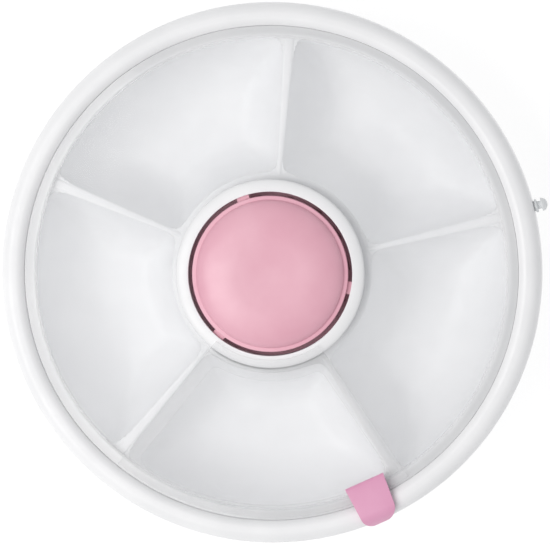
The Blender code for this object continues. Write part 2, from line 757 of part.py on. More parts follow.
# ---- Cover and door ---------------------------------------------------------------------


def panel_top(radius):
    """The cover's top falls gently from the hub to the rim."""
    share = (radius - PANEL_BORE) / (PANEL_RADIUS - PANEL_BORE)
    return PANEL_TOP_AT_HUB + (PANEL_TOP_AT_RIM - PANEL_TOP_AT_HUB) * share


def inset_angle(radius, margin):
    """How far round the axis a point at a radius must be to stand a margin off a radial line."""
    return math.degrees(math.asin(margin / radius))


def plane_arc(centre, radius, start, end, steps):
    """Points (x, y) round a centre, between two angles in degrees."""
    turns = [start + (end - start) * i / steps for i in range(steps + 1)]
    return [(centre + point_at(radius, turn)).to_2d() for turn in turns]


def opening_outline():
    """The opening's outline: a sector with rounded corners, a constant margin inside the door's sides."""
    axis = Vector()
    inner, outer = OPENING_INNER_RADIUS + OPENING_CORNER, OPENING_OUTER_RADIUS - OPENING_CORNER
    inset = OPENING_MARGIN + OPENING_CORNER
    inner_turn, outer_turn = inset_angle(inner, inset), inset_angle(outer, inset)
    start_side, end_side = DOOR_START - 90, DOOR_END + 90
    corners = (
        (outer, DOOR_END - outer_turn, DOOR_END - outer_turn, end_side),
        (inner, DOOR_END - inner_turn, end_side, DOOR_END - inner_turn + 180),
        (inner, DOOR_START + inner_turn, DOOR_START + inner_turn - 180, start_side),
        (outer, DOOR_START + outer_turn, start_side, DOOR_START + outer_turn),
    )
    rounded = [
        plane_arc(point_at(radius, angle), OPENING_CORNER, first, last, 4)
        for radius, angle, first, last in corners
    ]
    outer_start, outer_end = DOOR_START + outer_turn, DOOR_END - outer_turn
    inner_start, inner_end = DOOR_START + inner_turn, DOOR_END - inner_turn
    outer_arc = plane_arc(axis, OPENING_OUTER_RADIUS, outer_start, outer_end, 12)
    inner_arc = plane_arc(axis, OPENING_INNER_RADIUS, inner_end, inner_start, 8)
    return (
        outer_arc[1:-1] + rounded[0] + rounded[1] + inner_arc[1:-1] + rounded[2] + rounded[3]
    )


def make_lid_panel(finish):
    """The clear cover: a shallow cone with a flange down its edge and an opening at the front."""
    profile = [
        (PANEL_BORE, PANEL_TOP_AT_HUB - PANEL_THICKNESS),
        (FLANGE_INNER_RADIUS, PANEL_TOP_AT_RIM - PANEL_THICKNESS),
        (FLANGE_INNER_RADIUS, FLANGE_BOTTOM),
        (PANEL_RADIUS, FLANGE_BOTTOM),
        (PANEL_RADIUS, PANEL_TOP_AT_RIM - PANEL_EDGE),
        (PANEL_RADIUS - PANEL_EDGE, PANEL_TOP_AT_RIM),
        (PANEL_BORE, PANEL_TOP_AT_HUB),
    ]
    panel = add_object("lid_panel", turned(profile, WIDE_SEGMENTS), finish)
    opening = prism(opening_outline(), TRAY_TOP, PANEL_TOP_AT_HUB + OVERRUN)
    combine(panel, "opening", opening)
    return panel


def make_hub_collar(finish):
    """The ring round the button, snapped into the cover. Grooves under its lip guide the lugs."""
    profile = [
        (COLLAR_BORE, COLLAR_BOTTOM),
        (COLLAR_BARB_RADIUS - COLLAR_EDGE, COLLAR_BOTTOM),
        (COLLAR_BARB_RADIUS, COLLAR_BOTTOM + COLLAR_EDGE),
        (COLLAR_NECK, COLLAR_BOTTOM + 2 * COLLAR_EDGE),
        (COLLAR_NECK, COLLAR_FLANGE_BOTTOM),
        (COLLAR_RADIUS, COLLAR_FLANGE_BOTTOM),
        (COLLAR_RADIUS, COLLAR_TOP - COLLAR_EDGE),
        (COLLAR_RADIUS - COLLAR_EDGE, COLLAR_TOP),
        (COLLAR_BORE + COLLAR_EDGE, COLLAR_TOP),
        (COLLAR_BORE, COLLAR_TOP - COLLAR_EDGE),
    ]
    collar = add_object("hub_collar", turned(profile, HUB_SEGMENTS), finish)
    for i, angle in enumerate(GUIDE_ANGLES, 1):
        groove = block(
            COLLAR_BORE - OVERRUN,
            GUIDE_GROOVE_RADIUS,
            GUIDE_GROOVE_WIDTH,
            COLLAR_BOTTOM - OVERRUN,
            GUIDE_LUG_TOP + GAP,
            angle,
        )
        combine(collar, f"guide_groove_{i}", groove)
    return collar


def make_lid_seal(finish):
    """A soft ring between the cover's flange and the ledge inside the rim."""
    profile = [
        (SEAL_INNER_RADIUS, LEDGE_TOP + GAP),
        (PANEL_RADIUS, LEDGE_TOP + GAP),
        (PANEL_RADIUS, FLANGE_BOTTOM - GAP),
        (SEAL_INNER_RADIUS, FLANGE_BOTTOM - GAP),
    ]
    return add_object("lid_seal", turned(profile, WIDE_SEGMENTS), finish)


def make_sliding_door(finish):
    """A clear sector that swings over the cover. Its hub arc wraps over the collar and hooks under it."""
    plate_bottom = panel_top(PANEL_BORE) + GAP
    edge_bottom = panel_top(DOOR_RADIUS) + GAP
    profile = [
        (PANEL_BORE, plate_bottom),
        (DOOR_RADIUS, edge_bottom),
        (DOOR_RADIUS, edge_bottom + DOOR_THICKNESS - DOOR_EDGE),
        (DOOR_RADIUS - DOOR_EDGE, edge_bottom + DOOR_THICKNESS),
        (DOOR_ARC_OUTER, plate_bottom + DOOR_THICKNESS),
        (DOOR_ARC_OUTER, DOOR_ARC_TOP - DOOR_EDGE),
        (DOOR_ARC_OUTER - DOOR_EDGE, DOOR_ARC_TOP),
        (DOOR_ARC_BORE + DOOR_EDGE, DOOR_ARC_TOP),
        (DOOR_ARC_BORE, DOOR_ARC_TOP - DOOR_EDGE),
        (DOOR_ARC_BORE, COLLAR_TOP + GAP),
        (DOOR_ARC_INNER, COLLAR_TOP + GAP),
        (DOOR_ARC_INNER, DOOR_HOOK_TOP),
        (PANEL_BORE, DOOR_HOOK_TOP),
    ]
    door = swept_arc(profile, DOOR_START, DOOR_END, DOOR_STEPS)
    return add_object("sliding_door", door, finish)


def make_door_tab(finish):
    """A finger tab on the door that lies over the rim and bends down at its outer end."""
    crest = (RIM_CREST_RADIUS, RIM_SHOULDER)
    under_size = [size + TAB_CLEARANCE for size in RIM_OUTER_SIZE]
    over_size = (under_size[0] + TAB_END_THICKNESS, under_size[1] + TAB_THICKNESS)
    under = [
        (TAB_INNER_RADIUS, RIM_TOP + TAB_CLEARANCE),
        *ellipse_arc(crest, under_size, 90, TAB_UNDER_TURN, 4),
    ]
    over = [
        *ellipse_arc(crest, over_size, TAB_OVER_TURN, 90, 4),
        (TAB_INNER_RADIUS + TAB_NOSE, RIM_TOP + TAB_CLEARANCE + TAB_THICKNESS),
        (TAB_INNER_RADIUS, RIM_TOP + TAB_CLEARANCE + TAB_THICKNESS - TAB_NOSE / 2),
    ]
    length = RIM_RADIUS - TAB_INNER_RADIUS
    sections = []
    for side in (-1, 1):
        section = []
        for radius, height in under + over:
            share = (radius - TAB_INNER_RADIUS) / length
            half = (TAB_INNER_WIDTH + (TAB_OUTER_WIDTH - TAB_INNER_WIDTH) * share) / 2
            section.append(Vector((radius, side * half, height)))
        sections.append(section)
    bm = skinned(sections)
    bm.transform(Matrix.Rotation(math.radians(TAB_ANGLE), 4, "Z"))
    tab = add_object("door_tab", bm, finish)
    bevel = tab.modifiers.new("soft_edges", "BEVEL")
    bevel.width = TAB_BEVEL * MM
    bevel.segments = 2
    bevel.limit_method = "ANGLE"
    bevel.angle_limit = math.radians(50)
    return tab


# ---- Button -----------------------------------------------------------------------------


def make_button_cap(finish):
    """A domed cap with a flat middle, a flange, and three guide lugs round its edge."""
    dome_size = (BUTTON_DOME_RADIUS - BUTTON_FLAT_RADIUS, BUTTON_TOP - BUTTON_FLANGE_TOP)
    hollow_size = (BUTTON_RADIUS - BUTTON_WALL - BUTTON_RIB_RADIUS, BUTTON_ROOF - BUTTON_BOTTOM)
    profile = [
        (0, BUTTON_TOP),
        *ellipse_arc((BUTTON_FLAT_RADIUS, BUTTON_FLANGE_TOP), dome_size, 90, 0, 5),
        (BUTTON_RADIUS - BUTTON_EDGE, BUTTON_FLANGE_TOP),
        (BUTTON_RADIUS, BUTTON_FLANGE_TOP - BUTTON_EDGE),
        (BUTTON_RADIUS, BUTTON_BOTTOM),
        (BUTTON_RADIUS - BUTTON_WALL, BUTTON_BOTTOM),
        *ellipse_arc((BUTTON_RIB_RADIUS, BUTTON_BOTTOM), hollow_size, 0, 90, 4),
        (BUTTON_RIB_RADIUS, BUTTON_RIB_BOTTOM),
        (BUTTON_RIB_RADIUS - BUTTON_WALL, BUTTON_RIB_BOTTOM),
        (BUTTON_RIB_RADIUS - BUTTON_WALL, BUTTON_ROOF),
        (0, BUTTON_ROOF),
    ]
    cap = add_object("button_cap", turned(profile, HUB_SEGMENTS), finish)
    for i, angle in enumerate(GUIDE_ANGLES, 1):
        root = BUTTON_RADIUS - BUTTON_WALL / 2
        bottom = BUTTON_BOTTOM - GUIDE_LUG_DROP
        lug = block(root, GUIDE_LUG_REACH, GUIDE_LUG_WIDTH, bottom, GUIDE_LUG_TOP, angle)
        combine(cap, f"guide_lug_{i}", lug, "UNION")
    return cap


def build():
    for leftover in list(bpy.data.objects):
        bpy.data.objects.remove(leftover, do_unlink=True)

    white = material("white_plastic", (0.90, 0.91, 0.91), 0.35)
    tray_white = material("tray_plastic", (0.86, 0.88, 0.89), 0.40)
    clear = material("clear_plastic", (0.93, 0.95, 0.95), 0.08, alpha=0.25)
    pink = material("pink_plastic", (0.84, 0.47, 0.55), 0.38)
    tab_pink = material("tab_pink_plastic", (0.80, 0.38, 0.56), 0.38)
    smoke = material("peg_plastic", (0.72, 0.75, 0.76), 0.30, alpha=0.8)
    silicone = material("silicone", (0.85, 0.86, 0.86), 0.55)
    rubber = material("rubber", (0.70, 0.71, 0.72), 0.75)
    acetal = material("acetal", (0.88, 0.87, 0.83), 0.45)
    steel = material("steel", (0.62, 0.62, 0.62), 0.30, metallic=1.0)

    make_base_shell(white)
    make_bottom_cover(white)
    for i, angle in enumerate(SCREW_ANGLES, 1):
        make_screw(f"cover_screw_{i}", point_at(SCREW_CIRCLE, angle).to_2d(), COVER_SCREW_TIP, steel)
    make_screw("post_screw", (0, 0), POST_SCREW_TIP, steel)
    for i, angle in enumerate(FOOT_ANGLES, 1):
        make_foot(f"foot_{i}", point_at(FOOT_CIRCLE, angle).to_2d(), rubber)
    make_rim_peg(smoke)
    make_center_post(acetal)
    make_retaining_clip(steel)
    make_return_spring(steel)
    make_detent_spring(steel)

    button = [make_button_cap(pink), make_plunger(acetal)]
    hang_from("button_axis", (0, 0, BUTTON_TOP), button)
    drive = [make_drive_sleeve(acetal), make_pawl_ring(acetal)]
    hang_from("drive_axis", (0, 0, SLEEVE_BOTTOM), drive)
    tray = [make_compartment_tray(tray_white), make_ratchet_ring(pink), make_tray_glide_ring(acetal)]
    hang_from("tray_axis", (0, 0, SLEEVE_BOTTOM), tray)
    lid = [make_lid_panel(clear), make_hub_collar(white), make_lid_seal(silicone)]
    hang_from("lid_axis", (0, 0, FLANGE_BOTTOM), lid)
    door = [make_sliding_door(clear), make_door_tab(tab_pink)]
    hang_from("door_axis", (0, 0, PANEL_TOP_AT_HUB), door)


build()
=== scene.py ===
"""Looks of a round pill organizer: white base, clear cover and door, bowl tray, pink push button.

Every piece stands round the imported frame. Lengths are in millimetres and angles in degrees, and the
door faces -Y. The organizer stands on its feet at z = 0 with its axis on Z.
"""

import math

import bmesh
import bpy
from mathutils import Matrix, Vector


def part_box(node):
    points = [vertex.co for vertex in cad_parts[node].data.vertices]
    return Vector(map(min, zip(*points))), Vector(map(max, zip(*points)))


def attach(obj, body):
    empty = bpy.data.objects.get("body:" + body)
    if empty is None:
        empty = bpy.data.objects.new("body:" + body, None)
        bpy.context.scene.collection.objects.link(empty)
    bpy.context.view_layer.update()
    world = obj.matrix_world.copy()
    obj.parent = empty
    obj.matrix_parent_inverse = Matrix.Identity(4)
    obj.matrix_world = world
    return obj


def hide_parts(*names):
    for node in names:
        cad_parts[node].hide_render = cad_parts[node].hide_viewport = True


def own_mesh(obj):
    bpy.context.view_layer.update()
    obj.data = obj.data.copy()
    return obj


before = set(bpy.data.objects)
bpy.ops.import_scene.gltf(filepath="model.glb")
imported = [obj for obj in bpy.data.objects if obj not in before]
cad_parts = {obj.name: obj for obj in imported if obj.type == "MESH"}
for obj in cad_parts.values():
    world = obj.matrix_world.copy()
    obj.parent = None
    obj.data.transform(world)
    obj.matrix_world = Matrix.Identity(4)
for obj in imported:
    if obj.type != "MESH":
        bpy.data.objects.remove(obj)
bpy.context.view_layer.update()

MM = 0.001
GAP = 0.3
FINE = 240
MEDIUM = 120
SMALL = 48
SHARP_EDGE = math.radians(40)
OVERRUN = 1.0


def reach_of(node):
    """A round node's outer radius, lowest and highest height, in millimetres."""
    low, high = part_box(node)
    return (high.y - low.y) / 2 / MM, low.z / MM, high.z / MM


# Sizes read from the frame
RIM_RADIUS, BASE_BOTTOM, RIM_TOP = reach_of("base_shell")
TRAY_RADIUS, TRAY_HUB_BOTTOM, TRAY_TOP = reach_of("compartment_tray")
PANEL_RADIUS, FLANGE_BOTTOM, PANEL_TOP_AT_HUB = reach_of("lid_panel")
COLLAR_RADIUS, COLLAR_BOTTOM, COLLAR_TOP = reach_of("hub_collar")
COVER_RADIUS, _, COVER_TOP = reach_of("bottom_cover")
FOOT_RADIUS, _, FOOT_TOP = reach_of("foot_1")
SEAL_RADIUS, SEAL_BOTTOM, SEAL_TOP = reach_of("lid_seal")
BUTTON_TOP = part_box("button_cap")[1].z / MM
SPRING_BOTTOM, SPRING_TOP = (corner.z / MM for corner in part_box("return_spring"))
DOOR_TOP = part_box("sliding_door")[1].z / MM

# Base
WALL = 1.6
FLOOR_TOP = 2.6
HUB_FLOOR_TOP = 4.2
FLOOR_EDGE_RADIUS = 45.0
LEDGE_RADIUS = 53.7
LEDGE_TOP = 20.2
RIM_WALL = 1.2
RIM_INNER_RADIUS = PANEL_RADIUS + GAP
RIM_INNER_TOP = 24.5
RIM_PLATEAU_RADIUS = 56.8
RIM_SLOPE_TURN = 45
RIM_CREST_RADIUS = 57.5
RIM_SHOULDER = 23.0
RIM_LIP_BOTTOM = 19.6
RIM_CHANNEL_TOP = 23.6
TURRET_INNER_RADIUS = 11.3
TURRET_TOP = 16.2
POST_HOLE_RADIUS = 8.7
SCREW_CIRCLE = 23.6
SCREW_ANGLES = (90, 210, 330)
SCREW_HOLE_RADIUS = 1.1
SCREW_HEAD_RADIUS = 1.8
BOSS_RADIUS = 2.0
BOSS_TOP = 6.4
BOSS_OVERLAP = 0.8
FOOT_CIRCLE = 39.0
FOOT_ANGLES = (45, 135, 225, 315)
PEG_ANGLE = 14.4
PEG_HEIGHT = 21.8
PEG_HOLE_RADIUS = 1.4
PEG_LENGTH_OUTSIDE = 3.1
PEG_LENGTH_INSIDE = 0.8
PEG_SHANK_RADIUS = 1.1
PEG_HEAD_RADIUS = 1.5
PEG_HEAD_LENGTH = 1.4
PEG_NECK_RADIUS = 0.9
PEG_SHOULDER_LENGTH = 0.5
COVER_RING_INSET = 3.4
COVER_RING_WIDTH = 0.8
COVER_RING_DEPTH = 0.25
COVER_RING_SLOPE = 0.2
SCREW_SEAT_DEPTH = 1.0
SCREW_HEAD_HEIGHT = 0.7
SCREW_PITCH = 0.6
SCREW_THREAD_DEPTH = 0.15
SCREW_SLOT_WIDTH = 0.4
SCREW_SLOT_DEPTH = 0.35

# Tray
COMPARTMENTS = 5
FRONT_COMPARTMENT = 3.5
DIVIDER_ANGLE = 13.7
DIVIDER_HALF_ANGLE = 1.3
TRAY_FLOOR = 5.6
TRAY_WALL = 0.9
TRAY_BORE = 19.5
BOWL_INNER_RADIUS = 22.2
BOWL_OUTER_RADIUS = 52.7
BOWL_INNER_FILLET = 9.0
BOWL_OUTER_FILLET = 15.0
BOWL_SIDE_FILLET = 11.0
BOWL_CORNER_POWER = 7.0
BOWL_FOOT_POWER = 2.4
BOWL_WALL_POWER = 1.5
LIP_REACH = 0.5
LIP_DROP = 0.22
TRAY_EDGE = 0.3
BOWL_MIDDLE_RADIUS = 34.3

# Cover and door
PANEL_FIT = 0.04
FROST_START = 52.0
FROST_FULL = 52.9
FROST_OPACITY = 0.75
PANEL_BORE = 20.2
PANEL_TOP_AT_RIM = 24.4
PANEL_THICKNESS = 1.3
FLANGE_INNER_RADIUS = 53.5
COLLAR_BORE = 18.2
COLLAR_FLANGE_BOTTOM = 26.2
COLLAR_CREST_RADIUS = 18.4
COLLAR_BARB = 0.7
COLLAR_BARB_SLOPE = 0.3
COLLAR_EDGE = 0.1
SEAL_INNER_RADIUS = 53.8
GUIDE_ANGLES = (110, 230, 350)
GUIDE_GROOVE_RADIUS = 18.95
GUIDE_GROOVE_WIDTH = 4.2
DOOR_START = 231.2
DOOR_END = 304.3
DOOR_RADIUS = 54.3
DOOR_THICKNESS = 1.0
DOOR_ARC_OUTER = 21.9
DOOR_ARC_BORE = 19.0
OPENING_MARGIN = 3.0
OPENING_INNER_RADIUS = 24.0
OPENING_OUTER_RADIUS = 51.5
OPENING_CORNER = 2.0
TAB_ANGLE = 294.4
TAB_INNER_RADIUS = 50.4
TAB_INNER_WIDTH = 9.2
TAB_OUTER_WIDTH = 7.9
TAB_LEFT_CORNER = 2.2
TAB_RIGHT_CORNER = 3.1
TAB_CLEARANCE = 0.45
TAB_THICKNESS = 1.2
TAB_END_THICKNESS = 0.3
TAB_NOSE = 0.6
TAB_UNDER_TURN = 32
TAB_OVER_TURN = 22
TAB_CROWN = 0.10

# Button
BUTTON_BOTTOM = 25.8
BUTTON_RADIUS = 17.3
BUTTON_FLAT_RADIUS = 7.5
BUTTON_DOME_RADIUS = 16.4
BUTTON_FLANGE_TOP = 27.4
BUTTON_ROOF = 29.1
BUTTON_WALL = 1.2
BUTTON_RIB_RADIUS = 10.5
BUTTON_RIB_BOTTOM = 27.3
GUIDE_LUG_REACH = 18.65
GUIDE_LUG_WIDTH = 2.8
GUIDE_LUG_TOP = 26.3
GUIDE_LUG_DROP = 0.4

# Mechanism
SPRING_RADIUS = 5.1
SPRING_WIRE_RADIUS = 0.45
SPRING_TURNS = 6
POST_RADIUS = 4.0
POST_FLANGE_RADIUS = 8.4
POST_TOP = 19.0
POST_HOLE_TOP = 9.5
CLIP_BOTTOM = 6.3
CLIP_TOP = 6.9
CLIP_GROOVE_RADIUS = 3.4
CLIP_RADIUS = 6.0
CLIP_ANGLE = 300
PLUNGER_RADIUS = 8.3
PLUNGER_BORE = 6.9
PLUNGER_BOTTOM = 11.4
PLUNGER_CEILING = 24.5
PLUNGER_FLANGE_RADIUS = 13.0
PLUNGER_FLANGE_BOTTOM = 26.0
PLUNGER_FLANGE_TOP = 27.0
PRESS_TRAVEL = 5.0
TURN_PER_PRESS = 72.0
LUG_ANGLES = (90, 210, 330)
LUG_HEIGHT = 2.0
LUG_MIDDLE = 13.2
LUG_REACH = 10.6
LUG_WIDTH = 2.0
SLOT_HEIGHT = 3.5
SLOT_RUN_OUT = 8.5
SLEEVE_RADIUS = 10.9
SLEEVE_BORE = 8.7
SLEEVE_BOTTOM = 4.5
SLEEVE_FLOOR_TOP = 5.7
SLEEVE_FLANGE_RADIUS = 12.8
SLEEVE_FLANGE_BOTTOM = 16.5
SLEEVE_FLANGE_TOP = 17.7
SLEEVE_TOP = 19.8
PAWL_BOTTOM = 18.0
PAWL_REACH = 15.8
PAWL_WIDTH = 1.0
PAWL_ANGLE = 40
PAWL_COUNT = 3
PAWL_RELIEF = 0.2
RATCHET_RADIUS = 19.2
RATCHET_BOTTOM = 13.5
RATCHET_TOP = 20.2
TOOTH_BOTTOM = 17.6
TOOTH_TIP_RADIUS = 16.2
TOOTH_SHAPE = ((0.0, 16.05), (0.1, 17.4), (0.5, 17.0))
TOOTH_COUNT = 15
TOOTH_WEB = 0.4
NOTCH_BORE = 17.0
NOTCH_CIRCLE = 17.3
NOTCH_RADIUS = 1.5
DETENT_NOSE_RADIUS = 16.6
DETENT_THICKNESS = 0.45
DETENT_HALF_ANGLE = 28
DETENT_BOW_POWER = 3
DETENT_BOTTOM = 14.2
DETENT_TOP = 16.0
GLIDE_TOP = 6.0


# ---- Shapes -----------------------------------------------------------------------------


def point_at(radius, angle, height=0.0):
    """A point in millimetres, at a radius and an angle in degrees round the Z axis."""
    turn = math.radians(angle)
    return Vector((radius * math.cos(turn), radius * math.sin(turn), height))


def ellipse_arc(centre, size, start, end, steps):
    """Points of a profile along an ellipse, as (radius, height), between two angles in degrees."""
    turns = [math.radians(start + (end - start) * i / steps) for i in range(steps + 1)]
    return [(centre[0] + size[0] * math.cos(t), centre[1] + size[1] * math.sin(t)) for t in turns]


def softened(outline, reach=0.25, steps=3):
    """A closed outline with its sharp corners rounded, starting at a reach from each corner."""
    corners = [Vector(corner) for corner in outline]
    points = []
    for i, corner in enumerate(corners):
        sides = [corners[i - 1] - corner, corners[(i + 1) % len(corners)] - corner]
        nearly_straight = sides[0].normalized().dot(sides[1].normalized()) < -0.94
        if nearly_straight or corner.x < 1e-6:
            points.append(corner)
            continue
        first, last = (corner + s.normalized() * min(reach, s.length * 0.45) for s in sides)
        for step in range(steps + 1):
            t = step / steps
            points.append(first * (1 - t) ** 2 + corner * (2 * t * (1 - t)) + last * t**2)
    return [tuple(point) for point in points]


def add_object(name, bm):
    """Turns a bmesh in millimetres into a smooth object in metres."""
    bmesh.ops.remove_doubles(bm, verts=bm.verts, dist=1e-5)
    bmesh.ops.recalc_face_normals(bm, faces=bm.faces)
    bm.transform(Matrix.Scale(MM, 4))
    mesh = bpy.data.meshes.new(name)
    bm.to_mesh(mesh)
    bm.free()
    mesh.shade_smooth()
    mesh.set_sharp_from_angle(angle=SHARP_EDGE)
    made = bpy.data.objects.new(name, mesh)
    bpy.context.scene.collection.objects.link(made)
    return made


def turned(profile, segments):
    """A bmesh spun a full turn round Z from a profile that is closed or has both ends on the axis."""
    bm = bmesh.new()
    verts = [bm.verts.new((radius, 0, height)) for radius, height in profile]
    closed = profile[0][0] > 1e-6
    ends = zip(verts, verts[1:] + verts[:1] if closed else verts[1:])
    edges = [bm.edges.new(pair) for pair in ends]
    bmesh.ops.spin(
        bm, geom=verts + edges, axis=(0, 0, 1), cent=(0, 0, 0), angle=math.tau, steps=segments
    )
    return bm


def skinned(sections, looped=False):
    """A bmesh that joins equal rings of points in order, with end faces unless it is looped."""
    bm = bmesh.new()
    rings = [[bm.verts.new(point) for point in section] for section in sections]
    count = len(rings[0])
    pairs = zip(rings, rings[1:] + rings[:1] if looped else rings[1:])
    for first, second in pairs:
        for i in range(count):
            j = (i + 1) % count
            bm.faces.new((first[i], first[j], second[j], second[i]))
    if not looped:
        bm.faces.new(rings[0])
        bm.faces.new(rings[-1])
    return bm


def swept_arc(profile, start, end, steps):
    """A bmesh of a closed profile carried round Z from one angle to another."""
    angles = [start + (end - start) * i / steps for i in range(steps + 1)]
    return skinned([[point_at(radius, angle, z) for radius, z in profile] for angle in angles])


def prism(outline, bottom, top):
    """A bmesh of an outline of (x, y) points raised from one height to another."""
    return skinned([[Vector((x, y, z)) for x, y in outline] for z in (bottom, top)])


def block(inner, outer, width, bottom, top, angle):
    """A bmesh box that points outwards from the axis at an angle."""
    half = width / 2
    bm = prism([(inner, -half), (outer, -half), (outer, half), (inner, half)], bottom, top)
    bm.transform(Matrix.Rotation(math.radians(angle), 4, "Z"))
    return bm


def upright_strip(places, thickness, bottom, top):
    """A bmesh of a strip that stands on edge. Its inner side follows (radius, angle) places."""
    sections = []
    for radius, angle in places:
        outer = radius + thickness
        corners = ((radius, bottom), (outer, bottom), (outer, top), (radius, top))
        sections.append([point_at(reach, angle, z) for reach, z in corners])
    return skinned(sections)


def round_bar(radius, bottom, top, centre=(0, 0)):
    """A bmesh of an upright cylinder."""
    bm = turned([(0, bottom), (radius, bottom), (radius, top), (0, top)], SMALL)
    bm.transform(Matrix.Translation((*centre, 0)))
    return bm


def combine(target, bm, operation="DIFFERENCE"):
    """Cuts or joins a bmesh into an object by an exact Boolean, and applies it."""
    tool = add_object("tool", bm)
    modifier = target.modifiers.new("tool", "BOOLEAN")
    modifier.object = tool
    modifier.operation = operation
    modifier.solver = "EXACT"
    bake(target)
    bpy.data.objects.remove(tool, do_unlink=True)


def bake(target):
    """Replaces an object's mesh by the one that its modifiers make."""
    shape = target.evaluated_get(bpy.context.evaluated_depsgraph_get())
    mesh = bpy.data.meshes.new_from_object(shape)
    target.modifiers.clear()
    target.data = mesh
    mesh.set_sharp_from_angle(angle=SHARP_EDGE)


def soften_edges(target, width, segments=2, limit=35):
    """Rounds an object's sharp edges with a bevel."""
    bevel = target.modifiers.new("soft_edges", "BEVEL")
    bevel.width = width * MM
    bevel.segments = segments
    bevel.limit_method = "ANGLE"
    bevel.angle_limit = math.radians(limit)
    bevel.harden_normals = True
    bake(target)


def place(target, body, node, finish):
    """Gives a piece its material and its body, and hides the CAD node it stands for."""
    target.data.materials.clear()
    target.data.materials.append(finish)
    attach(target, body)
    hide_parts(node)
    return target


# ---- Materials --------------------------------------------------------------------------


class Finish:
    """Builds one Principled material whose colour, roughness and bump come from noise."""

    def __init__(self, name, **settings):
        self.material = bpy.data.materials.new(name)
        self.material.use_nodes = True
        self.nodes = self.material.node_tree.nodes
        self.link = self.material.node_tree.links.new
        self.shader = self.nodes["Principled BSDF"]
        self.place = self.nodes.new("ShaderNodeTexCoord").outputs["Object"]
        for socket, value in settings.items():
            self.shader.inputs[socket.replace("_", " ")].default_value = value

    def noise(self, scale, detail=3.0, stretch=None):
        """A noise value from 0 to 1. scale is in features per metre."""
        texture = self.nodes.new("ShaderNodeTexNoise")
        texture.inputs["Scale"].default_value = scale
        texture.inputs["Detail"].default_value = detail
        source = self.place
        if stretch:
            mapping = self.nodes.new("ShaderNodeMapping")
            mapping.inputs["Scale"].default_value = stretch
            self.link(source, mapping.inputs["Vector"])
            source = mapping.outputs["Vector"]
        self.link(source, texture.inputs["Vector"])
        return texture.outputs["Fac"]

    def ramp(self, value, stops):
        """A colour ramp of (position, colour) stops."""
        ramp = self.nodes.new("ShaderNodeValToRGB")
        elements = ramp.color_ramp.elements
        while len(elements) < len(stops):
            elements.new(0.5)
        for element, (position, colour) in zip(elements, stops):
            element.position = position
            element.color = (*colour, 1.0)
        self.link(value, ramp.inputs["Fac"])
        return ramp.outputs["Color"]

    def spread(self, value, low, high):
        """Maps a value from 0.3 to 0.7 onto another range."""
        spread = self.nodes.new("ShaderNodeMapRange")
        spread.inputs["From Min"].default_value = 0.3
        spread.inputs["From Max"].default_value = 0.7
        spread.inputs["To Min"].default_value = low
        spread.inputs["To Max"].default_value = high
        self.link(value, spread.inputs["Value"])
        return spread.outputs["Result"]

    def colour(self, value, stops):
        self.link(self.ramp(value, stops), self.shader.inputs["Base Color"])
        return self

    def roughness(self, value, low, high):
        self.link(self.spread(value, low, high), self.shader.inputs["Roughness"])
        return self

    def frost(self, opacity):
        """Raises an opacity to the frost's own as the distance from the Z axis grows."""
        flat = self.nodes.new("ShaderNodeVectorMath")
        flat.operation = "MULTIPLY"
        flat.inputs[1].default_value = (1, 1, 0)
        self.link(self.place, flat.inputs[0])
        distance = self.nodes.new("ShaderNodeVectorMath")
        distance.operation = "LENGTH"
        self.link(flat.outputs["Vector"], distance.inputs[0])
        frost = self.nodes.new("ShaderNodeMapRange")
        frost.inputs["From Min"].default_value = FROST_START * MM
        frost.inputs["From Max"].default_value = FROST_FULL * MM
        frost.inputs["To Max"].default_value = FROST_OPACITY
        self.link(distance.outputs["Value"], frost.inputs["Value"])
        self.link(opacity, frost.inputs["To Min"])
        return frost.outputs["Result"]

    def bump(self, value, strength, depth):
        """Bump from a value, depth in millimetres."""
        bump = self.nodes.new("ShaderNodeBump")
        bump.inputs["Strength"].default_value = strength
        bump.inputs["Distance"].default_value = depth * MM
        self.link(value, bump.inputs["Height"])
        self.link(bump.outputs["Normal"], self.shader.inputs["Normal"])
        return self


def moulded(name, dark, pale, low, high, grain=0.03, painted_glow=0.0, **settings):
    """Injection-moulded plastic: faint clouds of colour and a fine, shallow grain.

    Its emission is painted light: it evenly brightens the whole part and lifts its shade, in place of
    light that comes through a thin wall.
    """
    finish = Finish(name, **settings)
    # Painted light: emission that makes the part glow though it is no lamp.
    finish.shader.inputs["Emission Color"].default_value = (0.98, 0.985, 1.0, 1.0)
    finish.shader.inputs["Emission Strength"].default_value = painted_glow
    finish.colour(finish.noise(70, 4), ((0.35, dark), (0.65, pale)))
    finish.roughness(finish.noise(260, 5), low, high)
    finish.bump(finish.noise(2200, 4), 0.35, grain)
    return finish.material


def clear_plastic(name, face, edge, haze, frosted=False):
    """Clear plastic: almost invisible face on, whiter and denser at its edges, with a faint haze.

    A frosted one turns almost solid towards the cover's rim.
    """
    finish = Finish(name, IOR=1.49)
    finish.colour(finish.noise(40, 3), ((0.3, (0.80, 0.81, 0.82)), (0.7, (0.86, 0.865, 0.87))))
    finish.roughness(finish.noise(300, 4), 0.06, 0.14)
    finish.bump(finish.noise(90, 2), 0.15, 0.02)
    facing = finish.nodes.new("ShaderNodeLayerWeight")
    facing.inputs["Blend"].default_value = 0.35
    opacity = finish.nodes.new("ShaderNodeMapRange")
    opacity.inputs["To Min"].default_value = face
    opacity.inputs["To Max"].default_value = edge
    finish.link(facing.outputs["Facing"], opacity.inputs["Value"])
    cloud = finish.spread(finish.noise(55, 4, (1.0, 1.0, 0.2)), -haze, haze)
    total = finish.nodes.new("ShaderNodeMath")
    total.operation = "ADD"
    total.use_clamp = True
    finish.link(opacity.outputs["Result"], total.inputs[0])
    finish.link(cloud, total.inputs[1])
    alpha = total.outputs["Value"]
    if frosted:
        alpha = finish.frost(alpha)
    finish.link(alpha, finish.shader.inputs["Alpha"])
    return finish.material


